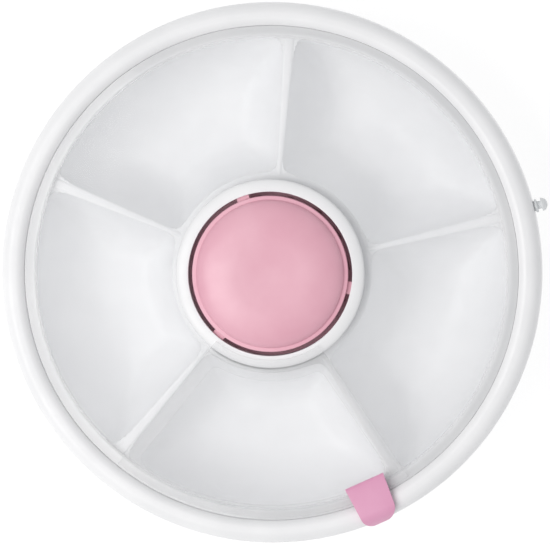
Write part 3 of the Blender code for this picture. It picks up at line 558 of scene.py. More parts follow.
def brushed_steel(name):
    """Drawn steel with fine streaks."""
    finish = Finish(name, Metallic=1.0)
    streaks = finish.noise(900, 3, (1.0, 1.0, 0.15))
    finish.colour(streaks, ((0.3, (0.46, 0.46, 0.47)), (0.7, (0.68, 0.68, 0.69))))
    finish.roughness(streaks, 0.22, 0.42)
    finish.bump(streaks, 0.3, 0.01)
    return finish.material


def rubber(name):
    """Matt grey rubber with a pebbled surface."""
    finish = Finish(name)
    finish.colour(finish.noise(400, 5), ((0.3, (0.55, 0.56, 0.57)), (0.7, (0.68, 0.69, 0.70))))
    finish.roughness(finish.noise(700, 3), 0.65, 0.85)
    finish.bump(finish.noise(1500, 2), 0.6, 0.05)
    return finish.material


FINISHES = {
    "white_plastic": moulded(
        "white_plastic", (0.85, 0.855, 0.86), (0.89, 0.893, 0.897), 0.30, 0.44
    ),
    # The tray's emission is painted light that lifts the shade in its bowls.
    "tray_plastic": moulded(
        "tray_plastic", (0.805, 0.81, 0.82), (0.845, 0.85, 0.858), 0.36, 0.52, painted_glow=0.09
    ),
    "pink_plastic": moulded(
        "pink_plastic",
        (0.76, 0.375, 0.465),
        (0.82, 0.445, 0.53),
        0.36,
        0.46,
        Specular_IOR_Level=0.8,
    ),
    "tab_pink_plastic": moulded(
        "tab_pink_plastic", (0.72, 0.32, 0.49), (0.78, 0.38, 0.55), 0.32, 0.46
    ),
    "peg_plastic": moulded(
        "peg_plastic", (0.70, 0.72, 0.73), (0.84, 0.86, 0.87), 0.22, 0.34, Alpha=0.85
    ),
    "acetal": moulded("acetal", (0.80, 0.79, 0.75), (0.88, 0.87, 0.83), 0.38, 0.52),
    "silicone": moulded("silicone", (0.76, 0.78, 0.79), (0.85, 0.86, 0.87), 0.50, 0.64),
    "clear_plastic": clear_plastic("clear_plastic", 0.11, 0.18, 0.02),
    "cover_plastic": clear_plastic("cover_plastic", 0.11, 0.18, 0.02, frosted=True),
    "rubber": rubber("rubber"),
    "steel": brushed_steel("steel"),
}


# ---- Base -------------------------------------------------------------------------------


def lay_along_peg(bm):
    """Lays an upright bmesh along the peg's axis, which points outwards through the rim."""
    bm.transform(Matrix.Rotation(math.radians(90), 4, "Y"))
    bm.transform(Matrix.Translation((0, 0, PEG_HEIGHT)))
    bm.transform(Matrix.Rotation(math.radians(PEG_ANGLE), 4, "Z"))


def make_base_shell():
    """The bowl with its rolled rim, the raised floor over the bottom cover and the turret."""
    recess = COVER_RADIUS + GAP
    outer = RIM_INNER_RADIUS + RIM_WALL
    bowl = (FLOOR_EDGE_RADIUS, LEDGE_TOP)
    outside_size = (outer - FLOOR_EDGE_RADIUS, LEDGE_TOP - BASE_BOTTOM)
    inside_size = (LEDGE_RADIUS - FLOOR_EDGE_RADIUS, LEDGE_TOP - FLOOR_TOP)
    crest_size = (RIM_RADIUS - RIM_CREST_RADIUS, RIM_TOP - RIM_SHOULDER)
    turn = math.radians(RIM_SLOPE_TURN)
    slope_size = (
        (RIM_PLATEAU_RADIUS - RIM_INNER_RADIUS) / math.sin(turn),
        (RIM_TOP - RIM_INNER_TOP) / (1 - math.cos(turn)),
    )
    slope = (RIM_PLATEAU_RADIUS, RIM_TOP - slope_size[1])
    profile = [
        (recess, BASE_BOTTOM),
        *ellipse_arc(bowl, outside_size, -90, 0, 20),
        (outer, RIM_CHANNEL_TOP),
        (RIM_RADIUS - WALL, RIM_CHANNEL_TOP),
        (RIM_RADIUS - WALL, RIM_LIP_BOTTOM),
        (RIM_RADIUS, RIM_LIP_BOTTOM),
        *ellipse_arc((RIM_CREST_RADIUS, RIM_SHOULDER), crest_size, 0, 90, 14),
        *ellipse_arc(slope, slope_size, 90, 90 + RIM_SLOPE_TURN, 10),
        (RIM_INNER_RADIUS, LEDGE_TOP),
        *ellipse_arc(bowl, inside_size, 0, -90, 20),
        (recess + WALL, FLOOR_TOP),
        (recess + WALL, HUB_FLOOR_TOP),
        (TURRET_INNER_RADIUS + WALL, HUB_FLOOR_TOP),
        (TURRET_INNER_RADIUS + WALL, TURRET_TOP),
        (TURRET_INNER_RADIUS, TURRET_TOP),
        (TURRET_INNER_RADIUS, HUB_FLOOR_TOP),
        (POST_HOLE_RADIUS, HUB_FLOOR_TOP),
        (POST_HOLE_RADIUS, FLOOR_TOP),
        (recess, FLOOR_TOP),
    ]
    shell = add_object("base_shell_fine", turned(softened(profile), FINE))
    for angle in SCREW_ANGLES:
        centre = point_at(SCREW_CIRCLE, angle).to_2d()
        boss = round_bar(BOSS_RADIUS, HUB_FLOOR_TOP - BOSS_OVERLAP, BOSS_TOP, centre)
        combine(shell, boss, "UNION")
        hole_top = BOSS_TOP - BOSS_OVERLAP
        combine(shell, round_bar(SCREW_HOLE_RADIUS, FLOOR_TOP - OVERRUN, hole_top, centre))
    for angle in FOOT_ANGLES:
        centre = point_at(FOOT_CIRCLE, angle).to_2d()
        combine(shell, round_bar(FOOT_RADIUS + GAP, 0, FOOT_TOP + GAP, centre))
    peg_hole = round_bar(PEG_HOLE_RADIUS, RIM_RADIUS - WALL - OVERRUN, RIM_RADIUS + OVERRUN)
    lay_along_peg(peg_hole)
    combine(shell, peg_hole)
    return shell


def make_bottom_cover():
    """The disc under the mechanism, with a turned step and a counterbore round each screw."""
    seat = SCREW_HEAD_RADIUS + GAP
    seat_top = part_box("post_screw")[0].z / MM + SCREW_SEAT_DEPTH
    ring_inner = COVER_RADIUS - COVER_RING_INSET
    ring_outer = ring_inner + COVER_RING_WIDTH
    ring_top = BASE_BOTTOM + COVER_RING_DEPTH
    profile = [
        (seat, BASE_BOTTOM),
        (ring_inner, BASE_BOTTOM),
        (ring_inner + COVER_RING_SLOPE, ring_top),
        (ring_outer - COVER_RING_SLOPE, ring_top),
        (ring_outer, BASE_BOTTOM),
        (COVER_RADIUS, BASE_BOTTOM),
        (COVER_RADIUS, COVER_TOP),
        (SCREW_HOLE_RADIUS, COVER_TOP),
        (SCREW_HOLE_RADIUS, seat_top),
        (seat, seat_top),
    ]
    cover = add_object("bottom_cover_fine", turned(softened(profile, 0.3), FINE))
    hole = [
        (0, BASE_BOTTOM - OVERRUN),
        (seat, BASE_BOTTOM - OVERRUN),
        (seat, seat_top),
        (SCREW_HOLE_RADIUS, seat_top),
        (SCREW_HOLE_RADIUS, COVER_TOP + OVERRUN),
        (0, COVER_TOP + OVERRUN),
    ]
    for angle in SCREW_ANGLES:
        bm = turned(hole, SMALL)
        bm.transform(Matrix.Translation(point_at(SCREW_CIRCLE, angle)))
        combine(cover, bm)
    return cover


def make_screw(name, node):
    """A pan-head screw, head down, with a crossed driver recess and a coarse thread."""
    low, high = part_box(node)
    centre = (low + high) / 2 / MM
    head_bottom, tip = low.z / MM, high.z / MM
    shank, head_top = SCREW_HOLE_RADIUS - GAP, head_bottom + SCREW_HEAD_HEIGHT
    root_radius = shank - SCREW_THREAD_DEPTH
    profile = [
        (0, head_bottom),
        (SCREW_HEAD_RADIUS, head_bottom),
        (SCREW_HEAD_RADIUS, head_top),
        (shank, head_top),
    ]
    turns = int((tip - shank - head_top) / SCREW_PITCH)
    for turn in range(turns):
        root = head_top + 0.2 + SCREW_PITCH * turn
        profile += [(root_radius, root), (shank, root + SCREW_PITCH / 2)]
    profile += [(root_radius, tip - shank), (0, tip)]
    bm = turned(softened(profile, 0.25), SMALL)
    bm.transform(Matrix.Translation((centre.x, centre.y, 0)))
    screw = add_object(name, bm)
    for angle in (0, 90):
        low, high = head_bottom - OVERRUN, head_bottom + SCREW_SLOT_DEPTH
        slot = block(-1.0, 1.0, SCREW_SLOT_WIDTH, low, high, angle)
        slot.transform(Matrix.Translation((centre.x, centre.y, 0)))
        combine(screw, slot)
    return screw


def make_foot(name, angle):
    """A rubber foot with a rounded edge and a shallow dished face."""
    profile = [
        (0, 0.12),
        (FOOT_RADIUS * 0.55, 0.1),
        (FOOT_RADIUS * 0.7, 0),
        (FOOT_RADIUS, 0),
        (FOOT_RADIUS, FOOT_TOP),
        (0, FOOT_TOP),
    ]
    bm = turned(softened(profile, 0.4, 4), SMALL)
    bm.transform(Matrix.Translation(point_at(FOOT_CIRCLE, angle)))
    return add_object(name, bm)


def make_rim_peg():
    """A mushroom peg: a shank through the rim, a shoulder outside it, a neck and a round head."""
    end = RIM_RADIUS + PEG_LENGTH_OUTSIDE
    head = end - PEG_HEAD_LENGTH
    start = RIM_RADIUS - WALL - PEG_LENGTH_INSIDE
    shoulder = RIM_RADIUS + GAP
    profile = [
        (0, start),
        (PEG_SHANK_RADIUS, start),
        (PEG_SHANK_RADIUS, shoulder),
        (PEG_HEAD_RADIUS, shoulder),
        (PEG_HEAD_RADIUS, shoulder + PEG_SHOULDER_LENGTH),
        (PEG_NECK_RADIUS, shoulder + PEG_SHOULDER_LENGTH + 0.1),
        (PEG_NECK_RADIUS, head),
        *ellipse_arc((0, head), (PEG_HEAD_RADIUS, PEG_HEAD_LENGTH), 0, 90, 10)[:-1],
        (0, end),
    ]
    bm = turned(softened(profile, 0.15), SMALL)
    lay_along_peg(bm)
    return add_object("rim_peg_fine", bm)


# ---- Tray -------------------------------------------------------------------------------


def bowl_depth(radius, off_divider, grown=0.0):
    """How deep a bowl is, from 0 at its edge to 1 at its floor, and how far past its edge a point is.

    off_divider is the angle from the nearest divider's middle. grown widens the bowl on every side.
    """
    side = radius * (
        math.sin(math.radians(off_divider)) - math.sin(math.radians(DIVIDER_HALF_ANGLE))
    )
    walls = (
        (side, BOWL_SIDE_FILLET),
        (radius - BOWL_INNER_RADIUS, BOWL_INNER_FILLET),
        (BOWL_OUTER_RADIUS - radius, BOWL_OUTER_FILLET),
    )
    near = 0.0
    for distance, fillet in walls:
        share = 1 - (distance + grown) / (fillet + grown)
        near += max(share, 0.0) ** BOWL_CORNER_POWER
    near = min(near ** (1 / BOWL_CORNER_POWER), 1.0)
    outside = max(-distance for distance, _ in walls)
    return (1 - near**BOWL_FOOT_POWER) ** (1 / BOWL_WALL_POWER), max(outside, 0.0)


def make_tray():
    """One thin moulding: a hub tube, five bowls and narrow dividers between them."""
    depth = TRAY_TOP - TRAY_FLOOR
    pitch = 360 / COMPARTMENTS
    half = pitch / 2
    wall_steps, top_steps = 30, 6
    on_top = [DIVIDER_HALF_ANGLE * (1 - (k / top_steps) ** 2) for k in range(top_steps, 0, -1)]
    in_bowl = [
        DIVIDER_HALF_ANGLE + (half - DIVIDER_HALF_ANGLE) * (k / wall_steps) ** 1.7
        for k in range(wall_steps + 1)
    ]
    one_side = on_top + in_bowl
    offsets = one_side + [pitch - angle for angle in reversed(one_side[1:-1])]
    starts = [DIVIDER_ANGLE + pitch * k for k in range(COMPARTMENTS)]
    columns = [start + offset for start in starts for offset in offsets]

    hub = TRAY_BORE + TRAY_WALL
    rows = [TRAY_BORE, TRAY_BORE + 0.1, TRAY_BORE + 0.3, hub, hub + 0.1]
    rows += [hub + (BOWL_INNER_RADIUS - hub) * k / 6 for k in range(1, 6)]
    rows += [BOWL_INNER_RADIUS + BOWL_INNER_FILLET * (k / 14) ** 1.9 for k in range(15)]
    rows += [BOWL_MIDDLE_RADIUS]
    rows += [BOWL_OUTER_RADIUS - BOWL_OUTER_FILLET * (k / 20) ** 1.9 for k in range(20, -1, -1)]
    rows += [TRAY_RADIUS - 0.35, TRAY_RADIUS - 0.2, TRAY_RADIUS - 0.08, TRAY_RADIUS]

    sections = []
    for angle in columns:
        along = (angle - DIVIDER_ANGLE) % pitch
        off_divider = min(along, pitch - along)
        top, under = [], []
        for radius in rows:
            deep, outside = bowl_depth(radius, off_divider)
            land = max(outside, 0.0) / LIP_REACH
            lip = LIP_DROP * max(1 - land, 0.0) ** 2
            inside = TRAY_EDGE - min(radius - TRAY_BORE, TRAY_RADIUS - radius, TRAY_EDGE)
            round_off = TRAY_EDGE - math.sqrt(max(TRAY_EDGE**2 - inside**2, 0.0))
            top.append(point_at(radius, angle, TRAY_TOP - lip - round_off - (depth - lip) * deep))
            deep_under = bowl_depth(radius, off_divider, TRAY_WALL)[0]
            low = TRAY_TOP - TRAY_WALL - depth * deep_under
            under.append(point_at(radius, angle, TRAY_HUB_BOTTOM if radius <= hub else low))
        sections.append(top + under[::-1])
    return add_object("compartment_tray_fine", skinned(sections, looped=True))


# ---- Cover, collar, seal and door -------------------------------------------------------


def panel_top(radius):
    """The cover's top falls gently from the hub to the rim."""
    share = (radius - PANEL_BORE) / (PANEL_RADIUS - PANEL_BORE)
    return PANEL_TOP_AT_HUB + (PANEL_TOP_AT_RIM - PANEL_TOP_AT_HUB) * share


def plane_arc(centre, radius, start, end, steps):
    """Points (x, y) round a centre, between two angles in degrees."""
    turns = [start + (end - start) * i / steps for i in range(steps + 1)]
    return [(centre + point_at(radius, turn)).to_2d() for turn in turns]


def opening_outline():
    """The opening's outline: a rounded sector, a constant margin inside the door's sides."""
    inner, outer = OPENING_INNER_RADIUS + OPENING_CORNER, OPENING_OUTER_RADIUS - OPENING_CORNER
    inset = OPENING_MARGIN + OPENING_CORNER
    inner_turn, outer_turn = (math.degrees(math.asin(inset / radius)) for radius in (inner, outer))
    start_side, end_side = DOOR_START - 90, DOOR_END + 90
    corners = (
        (outer, DOOR_END - outer_turn, DOOR_END - outer_turn, end_side),
        (inner, DOOR_END - inner_turn, end_side, DOOR_END - inner_turn + 180),
        (inner, DOOR_START + inner_turn, DOOR_START + inner_turn - 180, start_side),
        (outer, DOOR_START + outer_turn, start_side, DOOR_START + outer_turn),
    )
    rounded = [
        plane_arc(point_at(radius, angle), OPENING_CORNER, first, last, 8)
        for radius, angle, first, last in corners
    ]
    outer_start, outer_end = DOOR_START + outer_turn, DOOR_END - outer_turn
    inner_start, inner_end = DOOR_START + inner_turn, DOOR_END - inner_turn
    outer_arc = plane_arc(Vector(), OPENING_OUTER_RADIUS, outer_start, outer_end, 48)
    inner_arc = plane_arc(Vector(), OPENING_INNER_RADIUS, inner_end, inner_start, 32)
    return (
        outer_arc[1:-1] + rounded[0] + rounded[1] + inner_arc[1:-1] + rounded[2] + rounded[3]
    )


def make_panel():
    """The clear cover: a shallow cone with a flange down its edge and an opening at the front."""
    outer = RIM_INNER_RADIUS - PANEL_FIT
    profile = [
        (PANEL_BORE, PANEL_TOP_AT_HUB - PANEL_THICKNESS),
        (FLANGE_INNER_RADIUS, PANEL_TOP_AT_RIM - PANEL_THICKNESS),
        (FLANGE_INNER_RADIUS, FLANGE_BOTTOM),
        (outer, FLANGE_BOTTOM),
        (outer, PANEL_TOP_AT_RIM),
        (PANEL_BORE, PANEL_TOP_AT_HUB),
    ]
    panel = add_object("lid_panel_fine", turned(softened(profile, 0.1, 4), FINE))
    combine(panel, prism(opening_outline(), TRAY_TOP, PANEL_TOP_AT_HUB + OVERRUN))
    return panel


def make_collar():
    """The ring round the button, snapped into the cover. Grooves under its lip guide the lugs."""
    neck = PANEL_BORE - GAP
    barb = neck + COLLAR_BARB
    shoulder = COLLAR_FLANGE_BOTTOM + COLLAR_EDGE
    crest_size = (COLLAR_RADIUS - COLLAR_CREST_RADIUS, COLLAR_TOP - shoulder)
    profile = [
        (COLLAR_BORE, COLLAR_BOTTOM),
        (barb - COLLAR_BARB_SLOPE, COLLAR_BOTTOM),
        (barb, COLLAR_BOTTOM + COLLAR_BARB_SLOPE),
        (neck, COLLAR_BOTTOM + 2 * COLLAR_BARB_SLOPE),
        (neck, COLLAR_FLANGE_BOTTOM),
        (COLLAR_RADIUS, COLLAR_FLANGE_BOTTOM),
        *ellipse_arc((COLLAR_CREST_RADIUS, shoulder), crest_size, 0, 90, 14),
        (COLLAR_BORE, COLLAR_TOP),
    ]
    collar = add_object("hub_collar_fine", turned(softened(profile, 0.15, 4), FINE))
    inner, low, high = COLLAR_BORE - OVERRUN, COLLAR_BOTTOM - OVERRUN, GUIDE_LUG_TOP + GAP
    for angle in GUIDE_ANGLES:
        combine(collar, block(inner, GUIDE_GROOVE_RADIUS, GUIDE_GROOVE_WIDTH, low, high, angle))
    return collar


def make_seal():
    """A soft ring of round section between the cover's flange and the ledge."""
    centre = ((SEAL_RADIUS + SEAL_INNER_RADIUS) / 2, (SEAL_BOTTOM + SEAL_TOP) / 2)
    size = (SEAL_RADIUS - centre[0], SEAL_TOP - centre[1])
    return add_object("lid_seal_fine", turned(ellipse_arc(centre, size, 0, 360, 16)[:-1], FINE))


def make_door():
    """A clear sector that swings over the cover. Its hub arc wraps over and under the collar."""
    plate_bottom = panel_top(PANEL_BORE) + GAP
    edge_bottom = panel_top(DOOR_RADIUS) + GAP
    hook_top = COLLAR_FLANGE_BOTTOM - GAP
    arc_inner = COLLAR_RADIUS + GAP
    profile = [
        (PANEL_BORE, plate_bottom),
        (DOOR_RADIUS, edge_bottom),
        (DOOR_RADIUS, edge_bottom + DOOR_THICKNESS),
        (DOOR_ARC_OUTER, plate_bottom + DOOR_THICKNESS),
        (DOOR_ARC_OUTER, DOOR_TOP),
        (DOOR_ARC_BORE, DOOR_TOP),
        (DOOR_ARC_BORE, COLLAR_TOP + GAP),
        (arc_inner, COLLAR_TOP + GAP),
        (arc_inner, hook_top),
        (PANEL_BORE, hook_top),
    ]
    door = swept_arc(softened(profile, 0.3, 4), DOOR_START, DOOR_END, 72)
    made = add_object("sliding_door_fine", door)
    soften_edges(made, 0.15)
    return made


def tab_profile(limit):
    """The tab's profile over the rim, cut off upright at a radius."""
    crest = (RIM_CREST_RADIUS, RIM_SHOULDER)
    under_size = (
        RIM_RADIUS - RIM_CREST_RADIUS + TAB_CLEARANCE,
        RIM_TOP - RIM_SHOULDER + TAB_CLEARANCE,
    )
    over_size = (under_size[0] + TAB_END_THICKNESS, under_size[1] + TAB_THICKNESS)
    top = RIM_TOP + TAB_CLEARANCE + TAB_THICKNESS
    under_end, over_end = (
        math.degrees(math.acos(min((limit - RIM_CREST_RADIUS) / size[0], 1)))
        for size in (under_size, over_size)
    )
    return [
        (TAB_INNER_RADIUS, RIM_TOP + TAB_CLEARANCE),
        *ellipse_arc(crest, under_size, 90, max(under_end, TAB_UNDER_TURN), 12),
        *ellipse_arc(crest, over_size, max(over_end, TAB_OVER_TURN), 90, 16),
        (TAB_INNER_RADIUS + TAB_NOSE, top),
        (TAB_INNER_RADIUS, top - TAB_NOSE / 2),
    ]


def make_tab():
    """A finger tab over the rim, crowned across its width, with rounded outer corners."""
    reach = max(radius for radius, _ in tab_profile(RIM_RADIUS + OVERRUN))
    length = RIM_RADIUS - TAB_INNER_RADIUS
    steps = 36
    sections = []
    for i in range(steps + 1):
        across = math.sin(math.pi * (i / steps - 0.5))
        corner = TAB_LEFT_CORNER if across < 0 else TAB_RIGHT_CORNER
        past = max(abs(across) * TAB_OUTER_WIDTH / 2 - TAB_OUTER_WIDTH / 2 + corner, 0.0)
        limit = reach - corner + math.sqrt(corner**2 - past**2)
        crown = TAB_CROWN * across**2
        section = []
        for radius, height in tab_profile(limit):
            share = (radius - TAB_INNER_RADIUS) / length
            half = (TAB_INNER_WIDTH + (TAB_OUTER_WIDTH - TAB_INNER_WIDTH) * share) / 2
            section.append(Vector((radius, across * half, height - crown)))
        sections.append(section)
    bm = skinned(sections)
    bm.transform(Matrix.Rotation(math.radians(TAB_ANGLE), 4, "Z"))
    tab = add_object("door_tab_fine", bm)
    soften_edges(tab, 0.3, 3, 50)
    return tab


# ---- Button and spring ------------------------------------------------------------------


def make_button():
    """A domed cap with a flat middle, a flange, and three guide lugs round its edge."""
    dome_size = (BUTTON_DOME_RADIUS - BUTTON_FLAT_RADIUS, BUTTON_TOP - BUTTON_FLANGE_TOP)
    hollow_size = (BUTTON_RADIUS - BUTTON_WALL - BUTTON_RIB_RADIUS, BUTTON_ROOF - BUTTON_BOTTOM)
    profile = [
        (0, BUTTON_TOP - 0.1),
        (BUTTON_FLAT_RADIUS / 2, BUTTON_TOP - 0.07),
        *ellipse_arc((BUTTON_FLAT_RADIUS, BUTTON_FLANGE_TOP), dome_size, 90, 0, 24),
        (BUTTON_RADIUS, BUTTON_FLANGE_TOP),
        (BUTTON_RADIUS, BUTTON_BOTTOM),
        (BUTTON_RADIUS - BUTTON_WALL, BUTTON_BOTTOM),
        *ellipse_arc((BUTTON_RIB_RADIUS, BUTTON_BOTTOM), hollow_size, 0, 90, 12),
        (BUTTON_RIB_RADIUS, BUTTON_RIB_BOTTOM),
        (BUTTON_RIB_RADIUS - BUTTON_WALL, BUTTON_RIB_BOTTOM),
        (BUTTON_RIB_RADIUS - BUTTON_WALL, BUTTON_ROOF),
        (0, BUTTON_ROOF),
    ]
    cap = add_object("button_cap_fine", turned(softened(profile, 0.2), FINE))
    low, root = BUTTON_BOTTOM - GUIDE_LUG_DROP, BUTTON_RADIUS - BUTTON_WALL / 2
    for angle in GUIDE_ANGLES:
        lug = block(root, GUIDE_LUG_REACH, GUIDE_LUG_WIDTH, low, GUIDE_LUG_TOP, angle)
        combine(cap, lug, "UNION")
    return cap


def make_return_spring():
    """A coil of round wire between the clip and the plunger's ceiling."""
    steps_per_turn, sides = 36, 12
    low, high = SPRING_BOTTOM + SPRING_WIRE_RADIUS, SPRING_TOP - SPRING_WIRE_RADIUS
    steps = SPRING_TURNS * steps_per_turn
    sections = []
    for i in range(steps + 1):
        angle = i * 360 / steps_per_turn
        middle = point_at(SPRING_RADIUS, angle, low + (high - low) * i / steps)
        out = point_at(1, angle)
        ring = []
        for side in range(sides):
            turn = math.tau * side / sides
            off_middle = out * math.cos(turn) + Vector((0, 0, math.sin(turn)))
            ring.append(middle + SPRING_WIRE_RADIUS * off_middle)
        sections.append(ring)
    return add_object("return_spring_fine", skinned(sections))


# ---- Mechanism --------------------------------------------------------------------------


def make_center_post():
    """A fixed post with a flange in the base's floor, a clip groove and a blind screw hole."""
    profile = [
        (0, POST_HOLE_TOP),
        (SCREW_HOLE_RADIUS, POST_HOLE_TOP),
        (SCREW_HOLE_RADIUS, FLOOR_TOP),
        (POST_FLANGE_RADIUS, FLOOR_TOP),
        (POST_FLANGE_RADIUS, HUB_FLOOR_TOP),
        (POST_RADIUS, HUB_FLOOR_TOP),
        (POST_RADIUS, CLIP_BOTTOM - GAP),
        (CLIP_GROOVE_RADIUS, CLIP_BOTTOM - GAP),
        (CLIP_GROOVE_RADIUS, CLIP_TOP + GAP),
        (POST_RADIUS, CLIP_TOP + GAP),
        (POST_RADIUS, POST_TOP - 0.6),
        (POST_RADIUS - 0.6, POST_TOP),
        (0, POST_TOP),
    ]
    return add_object("center_post_fine", turned(softened(profile, 0.2), MEDIUM))


def make_retaining_clip():
    """An open ring in the post's groove."""
    inner = CLIP_GROOVE_RADIUS + GAP
    profile = [
        (inner, CLIP_BOTTOM),
        (CLIP_RADIUS, CLIP_BOTTOM),
        (CLIP_RADIUS, CLIP_TOP),
        (inner, CLIP_TOP),
    ]
    ring = swept_arc(softened(profile, 0.12), 0, CLIP_ANGLE, 90)
    return add_object("retaining_clip_fine", ring)


def make_plunger():
    """The button's stem: a tube closed at the top, with a flange and three drive lugs."""
    profile = [
        (0, PLUNGER_CEILING),
        (PLUNGER_BORE, PLUNGER_CEILING),
        (PLUNGER_BORE, PLUNGER_BOTTOM),
        (PLUNGER_RADIUS, PLUNGER_BOTTOM),
        (PLUNGER_RADIUS, PLUNGER_FLANGE_BOTTOM),
        (PLUNGER_FLANGE_RADIUS, PLUNGER_FLANGE_BOTTOM),
        (PLUNGER_FLANGE_RADIUS, PLUNGER_FLANGE_TOP),
        (0, PLUNGER_FLANGE_TOP),
    ]
    plunger = add_object("plunger_fine", turned(softened(profile, 0.25), MEDIUM))
    low, high = LUG_MIDDLE - LUG_HEIGHT / 2, LUG_MIDDLE + LUG_HEIGHT / 2
    for angle in LUG_ANGLES:
        root = (PLUNGER_BORE + PLUNGER_RADIUS) / 2
        combine(plunger, block(root, LUG_REACH, LUG_WIDTH, low, high, angle), "UNION")
    return plunger


def make_drive_sleeve():
    """A sleeve whose helical slots make it turn as the plunger's lugs are pushed straight down."""
    profile = [
        (POST_RADIUS + GAP, SLEEVE_BOTTOM),
        (SLEEVE_RADIUS, SLEEVE_BOTTOM),
        (SLEEVE_RADIUS, SLEEVE_FLANGE_BOTTOM),
        (SLEEVE_FLANGE_RADIUS, SLEEVE_FLANGE_BOTTOM),
        (SLEEVE_FLANGE_RADIUS, SLEEVE_FLANGE_TOP),
        (SLEEVE_RADIUS, SLEEVE_FLANGE_TOP),
        (SLEEVE_RADIUS, SLEEVE_TOP),
        (SLEEVE_BORE, SLEEVE_TOP),
        (SLEEVE_BORE, SLEEVE_FLOOR_TOP),
        (POST_RADIUS + GAP, SLEEVE_FLOOR_TOP),
    ]
    sleeve = add_object("drive_sleeve_fine", turned(softened(profile, 0.2), MEDIUM))
    rise = PRESS_TRAVEL / TURN_PER_PRESS
    steps = 40
    for lug_angle in LUG_ANGLES:
        start = lug_angle - TURN_PER_PRESS - SLOT_RUN_OUT
        sweep = TURN_PER_PRESS + 2 * SLOT_RUN_OUT
        sections = []
        for step in range(steps + 1):
            angle = start + sweep * step / steps
            middle = LUG_MIDDLE + (angle - lug_angle) * rise
            low, high = middle - SLOT_HEIGHT / 2, middle + SLOT_HEIGHT / 2
            inner, outer = SLEEVE_BORE - OVERRUN, SLEEVE_RADIUS + OVERRUN
            corners = ((inner, low), (outer, low), (outer, high), (inner, high))
            sections.append([point_at(radius, angle, z) for radius, z in corners])
        combine(sleeve, skinned(sections))
    return sleeve


def make_pawl_ring():
    """A ring on the sleeve with three spring fingers that curve outwards towards their tips."""
    bore = SLEEVE_RADIUS + GAP
    profile = [
        (bore, PAWL_BOTTOM),
        (SLEEVE_FLANGE_RADIUS, PAWL_BOTTOM),
        (SLEEVE_FLANGE_RADIUS, SLEEVE_TOP),
        (bore, SLEEVE_TOP),
    ]
    ring = add_object("pawl_ring_fine", turned(softened(profile, 0.2), MEDIUM))
    root_radius = (bore + SLEEVE_FLANGE_RADIUS) / 2
    tip_radius = PAWL_REACH - PAWL_WIDTH
    low, high = PAWL_BOTTOM + PAWL_RELIEF, SLEEVE_TOP - PAWL_RELIEF
    steps = 36
    for i in range(PAWL_COUNT):
        places = []
        for step in range(steps + 1):
            share = step / steps
            angle = 360 / PAWL_COUNT * i + PAWL_ANGLE * share
            places.append((root_radius + (tip_radius - root_radius) * share, angle))
        combine(ring, upright_strip(places, PAWL_WIDTH, low, high), "UNION")
    return ring


def make_ratchet_ring():
    """A ring in the tray's hub: sloped teeth above, and one detent notch per compartment below."""
    profile = [
        (TOOTH_TIP_RADIUS, TOOTH_BOTTOM),
        (NOTCH_BORE, TOOTH_BOTTOM),
        (NOTCH_BORE, RATCHET_BOTTOM),
        (RATCHET_RADIUS, RATCHET_BOTTOM),
        (RATCHET_RADIUS, RATCHET_TOP),
        (TOOTH_TIP_RADIUS, RATCHET_TOP),
    ]
    ring = add_object("ratchet_ring_fine", turned(softened(profile, 0.2), FINE))
    pitch = 360 / TOOTH_COUNT
    outline = []
    for tooth in range(TOOTH_COUNT):
        for share, radius in TOOTH_SHAPE:
            outline.append(point_at(radius, (tooth + share) * pitch).to_2d())
    combine(ring, prism(outline, TOOTH_BOTTOM + TOOTH_WEB, RATCHET_TOP + OVERRUN))
    for i in range(COMPARTMENTS):
        angle = DIVIDER_ANGLE + 360 / COMPARTMENTS * (i + 0.5)
        centre = point_at(NOTCH_CIRCLE, angle).to_2d()
        bottom, top = RATCHET_BOTTOM - OVERRUN, TOOTH_BOTTOM - TOOTH_WEB
        combine(ring, round_bar(NOTCH_RADIUS, bottom, top, centre))
    return ring


def make_detent_spring():
    """A bowed leaf on the turret whose nose faces a notch of the ratchet ring."""
    front = DIVIDER_ANGLE + 360 / COMPARTMENTS * FRONT_COMPARTMENT
    foot = TURRET_INNER_RADIUS + WALL + GAP
    nose = DETENT_NOSE_RADIUS - DETENT_THICKNESS
    steps = 84
    places = []
    for i in range(steps + 1):
        share = 2 * i / steps - 1
        bow = max(math.cos(math.pi / 2 * share), 0.0) ** DETENT_BOW_POWER
        places.append((foot + (nose - foot) * bow, front + DETENT_HALF_ANGLE * share))
    leaf = upright_strip(places, DETENT_THICKNESS, DETENT_BOTTOM, DETENT_TOP)
    return add_object("detent_spring_fine", leaf)


def make_tray_glide_ring():
    """A slippery ring under the tray's hub that runs on the floor round the turret."""
    inner = TURRET_INNER_RADIUS + WALL + GAP
    profile = [
        (inner, SLEEVE_BOTTOM),
        (RATCHET_RADIUS, SLEEVE_BOTTOM),
        (RATCHET_RADIUS, GLIDE_TOP),
        (inner + 0.5, GLIDE_TOP),
        (inner, GLIDE_TOP - 0.5),
    ]
    return add_object("tray_glide_ring_fine", turned(softened(profile, 0.2), FINE))


# ---- Assembly ---------------------------------------------------------------------------


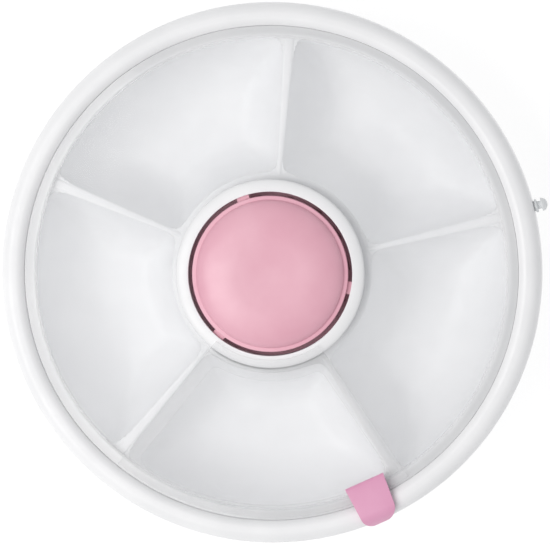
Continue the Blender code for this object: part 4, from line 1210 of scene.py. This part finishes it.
def build():
    white = FINISHES["white_plastic"]
    place(make_base_shell(), "base", "base_shell", white)
    place(make_bottom_cover(), "base", "bottom_cover", white)
    for node in ("cover_screw_1", "cover_screw_2", "cover_screw_3", "post_screw"):
        place(make_screw(f"{node}_fine", node), "base", node, FINISHES["steel"])
    for i, angle in enumerate(FOOT_ANGLES, 1):
        foot = make_foot(f"foot_{i}_fine", angle)
        place(foot, "base", f"foot_{i}", FINISHES["rubber"])
    place(make_rim_peg(), "base", "rim_peg", FINISHES["peg_plastic"])
    place(make_tray(), "tray", "compartment_tray", FINISHES["tray_plastic"])
    place(make_panel(), "lid", "lid_panel", FINISHES["cover_plastic"])
    place(make_collar(), "lid", "hub_collar", white)
    place(make_seal(), "lid", "lid_seal", FINISHES["silicone"])
    place(make_door(), "door", "sliding_door", FINISHES["clear_plastic"])
    place(make_tab(), "door", "door_tab", FINISHES["tab_pink_plastic"])
    place(make_button(), "button", "button_cap", FINISHES["pink_plastic"])

    spring = make_return_spring()
    place(spring, "base", "return_spring", FINISHES["steel"])
    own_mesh(spring)

    acetal, steel = FINISHES["acetal"], FINISHES["steel"]
    place(make_center_post(), "base", "center_post", acetal)
    place(make_retaining_clip(), "base", "retaining_clip", steel)
    place(make_detent_spring(), "base", "detent_spring", steel)
    place(make_plunger(), "button", "plunger", acetal)
    place(make_drive_sleeve(), "drive", "drive_sleeve", acetal)
    place(make_pawl_ring(), "drive", "pawl_ring", acetal)
    place(make_ratchet_ring(), "tray", "ratchet_ring", FINISHES["pink_plastic"])
    place(make_tray_glide_ring(), "tray", "tray_glide_ring", acetal)


# ---- Stage ------------------------------------------------------------------------------

CAMERA_TILT = 5.2
CAMERA_SIDE = 35.8
CAMERA_LENS = 500.0
SENSOR = 36.0
VIEW_WIDTH = 122.03
AIM = (0.68, 0.12, 21.5)


def make_floor():
    """A pale round floor under the organizer."""
    bm = turned([(0, -0.02), (900, -0.02), (900, -10), (0, -10)], MEDIUM)
    floor = add_object("floor", bm)
    finish = Finish("floor", Roughness=0.9)
    finish.colour(finish.noise(8, 2), ((0.3, (0.24, 0.24, 0.24)), (0.7, (0.28, 0.28, 0.28))))
    finish.shader.inputs["Emission Color"].default_value = (1, 1, 1, 1)
    finish.shader.inputs["Emission Strength"].default_value = 0.82
    floor.data.materials.append(finish.material)


def area_light(name, azimuth, elevation, distance, size, power, colour):
    """A square soft light that looks at the organizer from a direction, with lengths in metres."""
    lamp = bpy.data.lights.new(name, "AREA")
    lamp.size = size
    lamp.energy = power
    lamp.color = colour
    light = bpy.data.objects.new(name, lamp)
    out = Vector(
        (
            math.cos(math.radians(elevation)) * math.cos(math.radians(azimuth)),
            math.cos(math.radians(elevation)) * math.sin(math.radians(azimuth)),
            math.sin(math.radians(elevation)),
        )
    )
    light.location = out * distance
    light.rotation_mode = "QUATERNION"
    light.rotation_quaternion = out.to_track_quat("Z", "Y")
    bpy.context.scene.collection.objects.link(light)


def make_lights():
    world = bpy.data.worlds.new("studio")
    world.use_nodes = True
    background = world.node_tree.nodes["Background"]
    background.inputs["Color"].default_value = (0.975, 0.978, 0.998, 1.0)
    background.inputs["Strength"].default_value = 0.56
    bpy.context.scene.world = world
    area_light("key", 195, 62, 0.9, 0.6, 4.3, (1.0, 0.985, 0.975))


def make_camera():
    """A camera almost straight above, tipped a little towards the right and the back."""
    data = bpy.data.cameras.new("camera")
    data.lens = CAMERA_LENS
    data.sensor_width = SENSOR
    camera = bpy.data.objects.new("camera", data)
    tilt, side = math.radians(CAMERA_TILT), math.radians(CAMERA_SIDE)
    back = Vector(
        (math.sin(tilt) * math.cos(side), math.sin(tilt) * math.sin(side), math.cos(tilt))
    )
    right = Vector((0, 1, 0)).cross(back).normalized()
    up = back.cross(right)
    distance = VIEW_WIDTH * CAMERA_LENS / SENSOR
    turn = Matrix((right, up, back)).transposed()
    camera.matrix_world = Matrix.LocRotScale((Vector(AIM) + back * distance) * MM, turn, None)
    bpy.context.scene.collection.objects.link(camera)
    bpy.context.scene.camera = camera


build()
make_floor()
make_lights()
make_camera()
bpy.context.scene.view_settings.view_transform = "Standard"
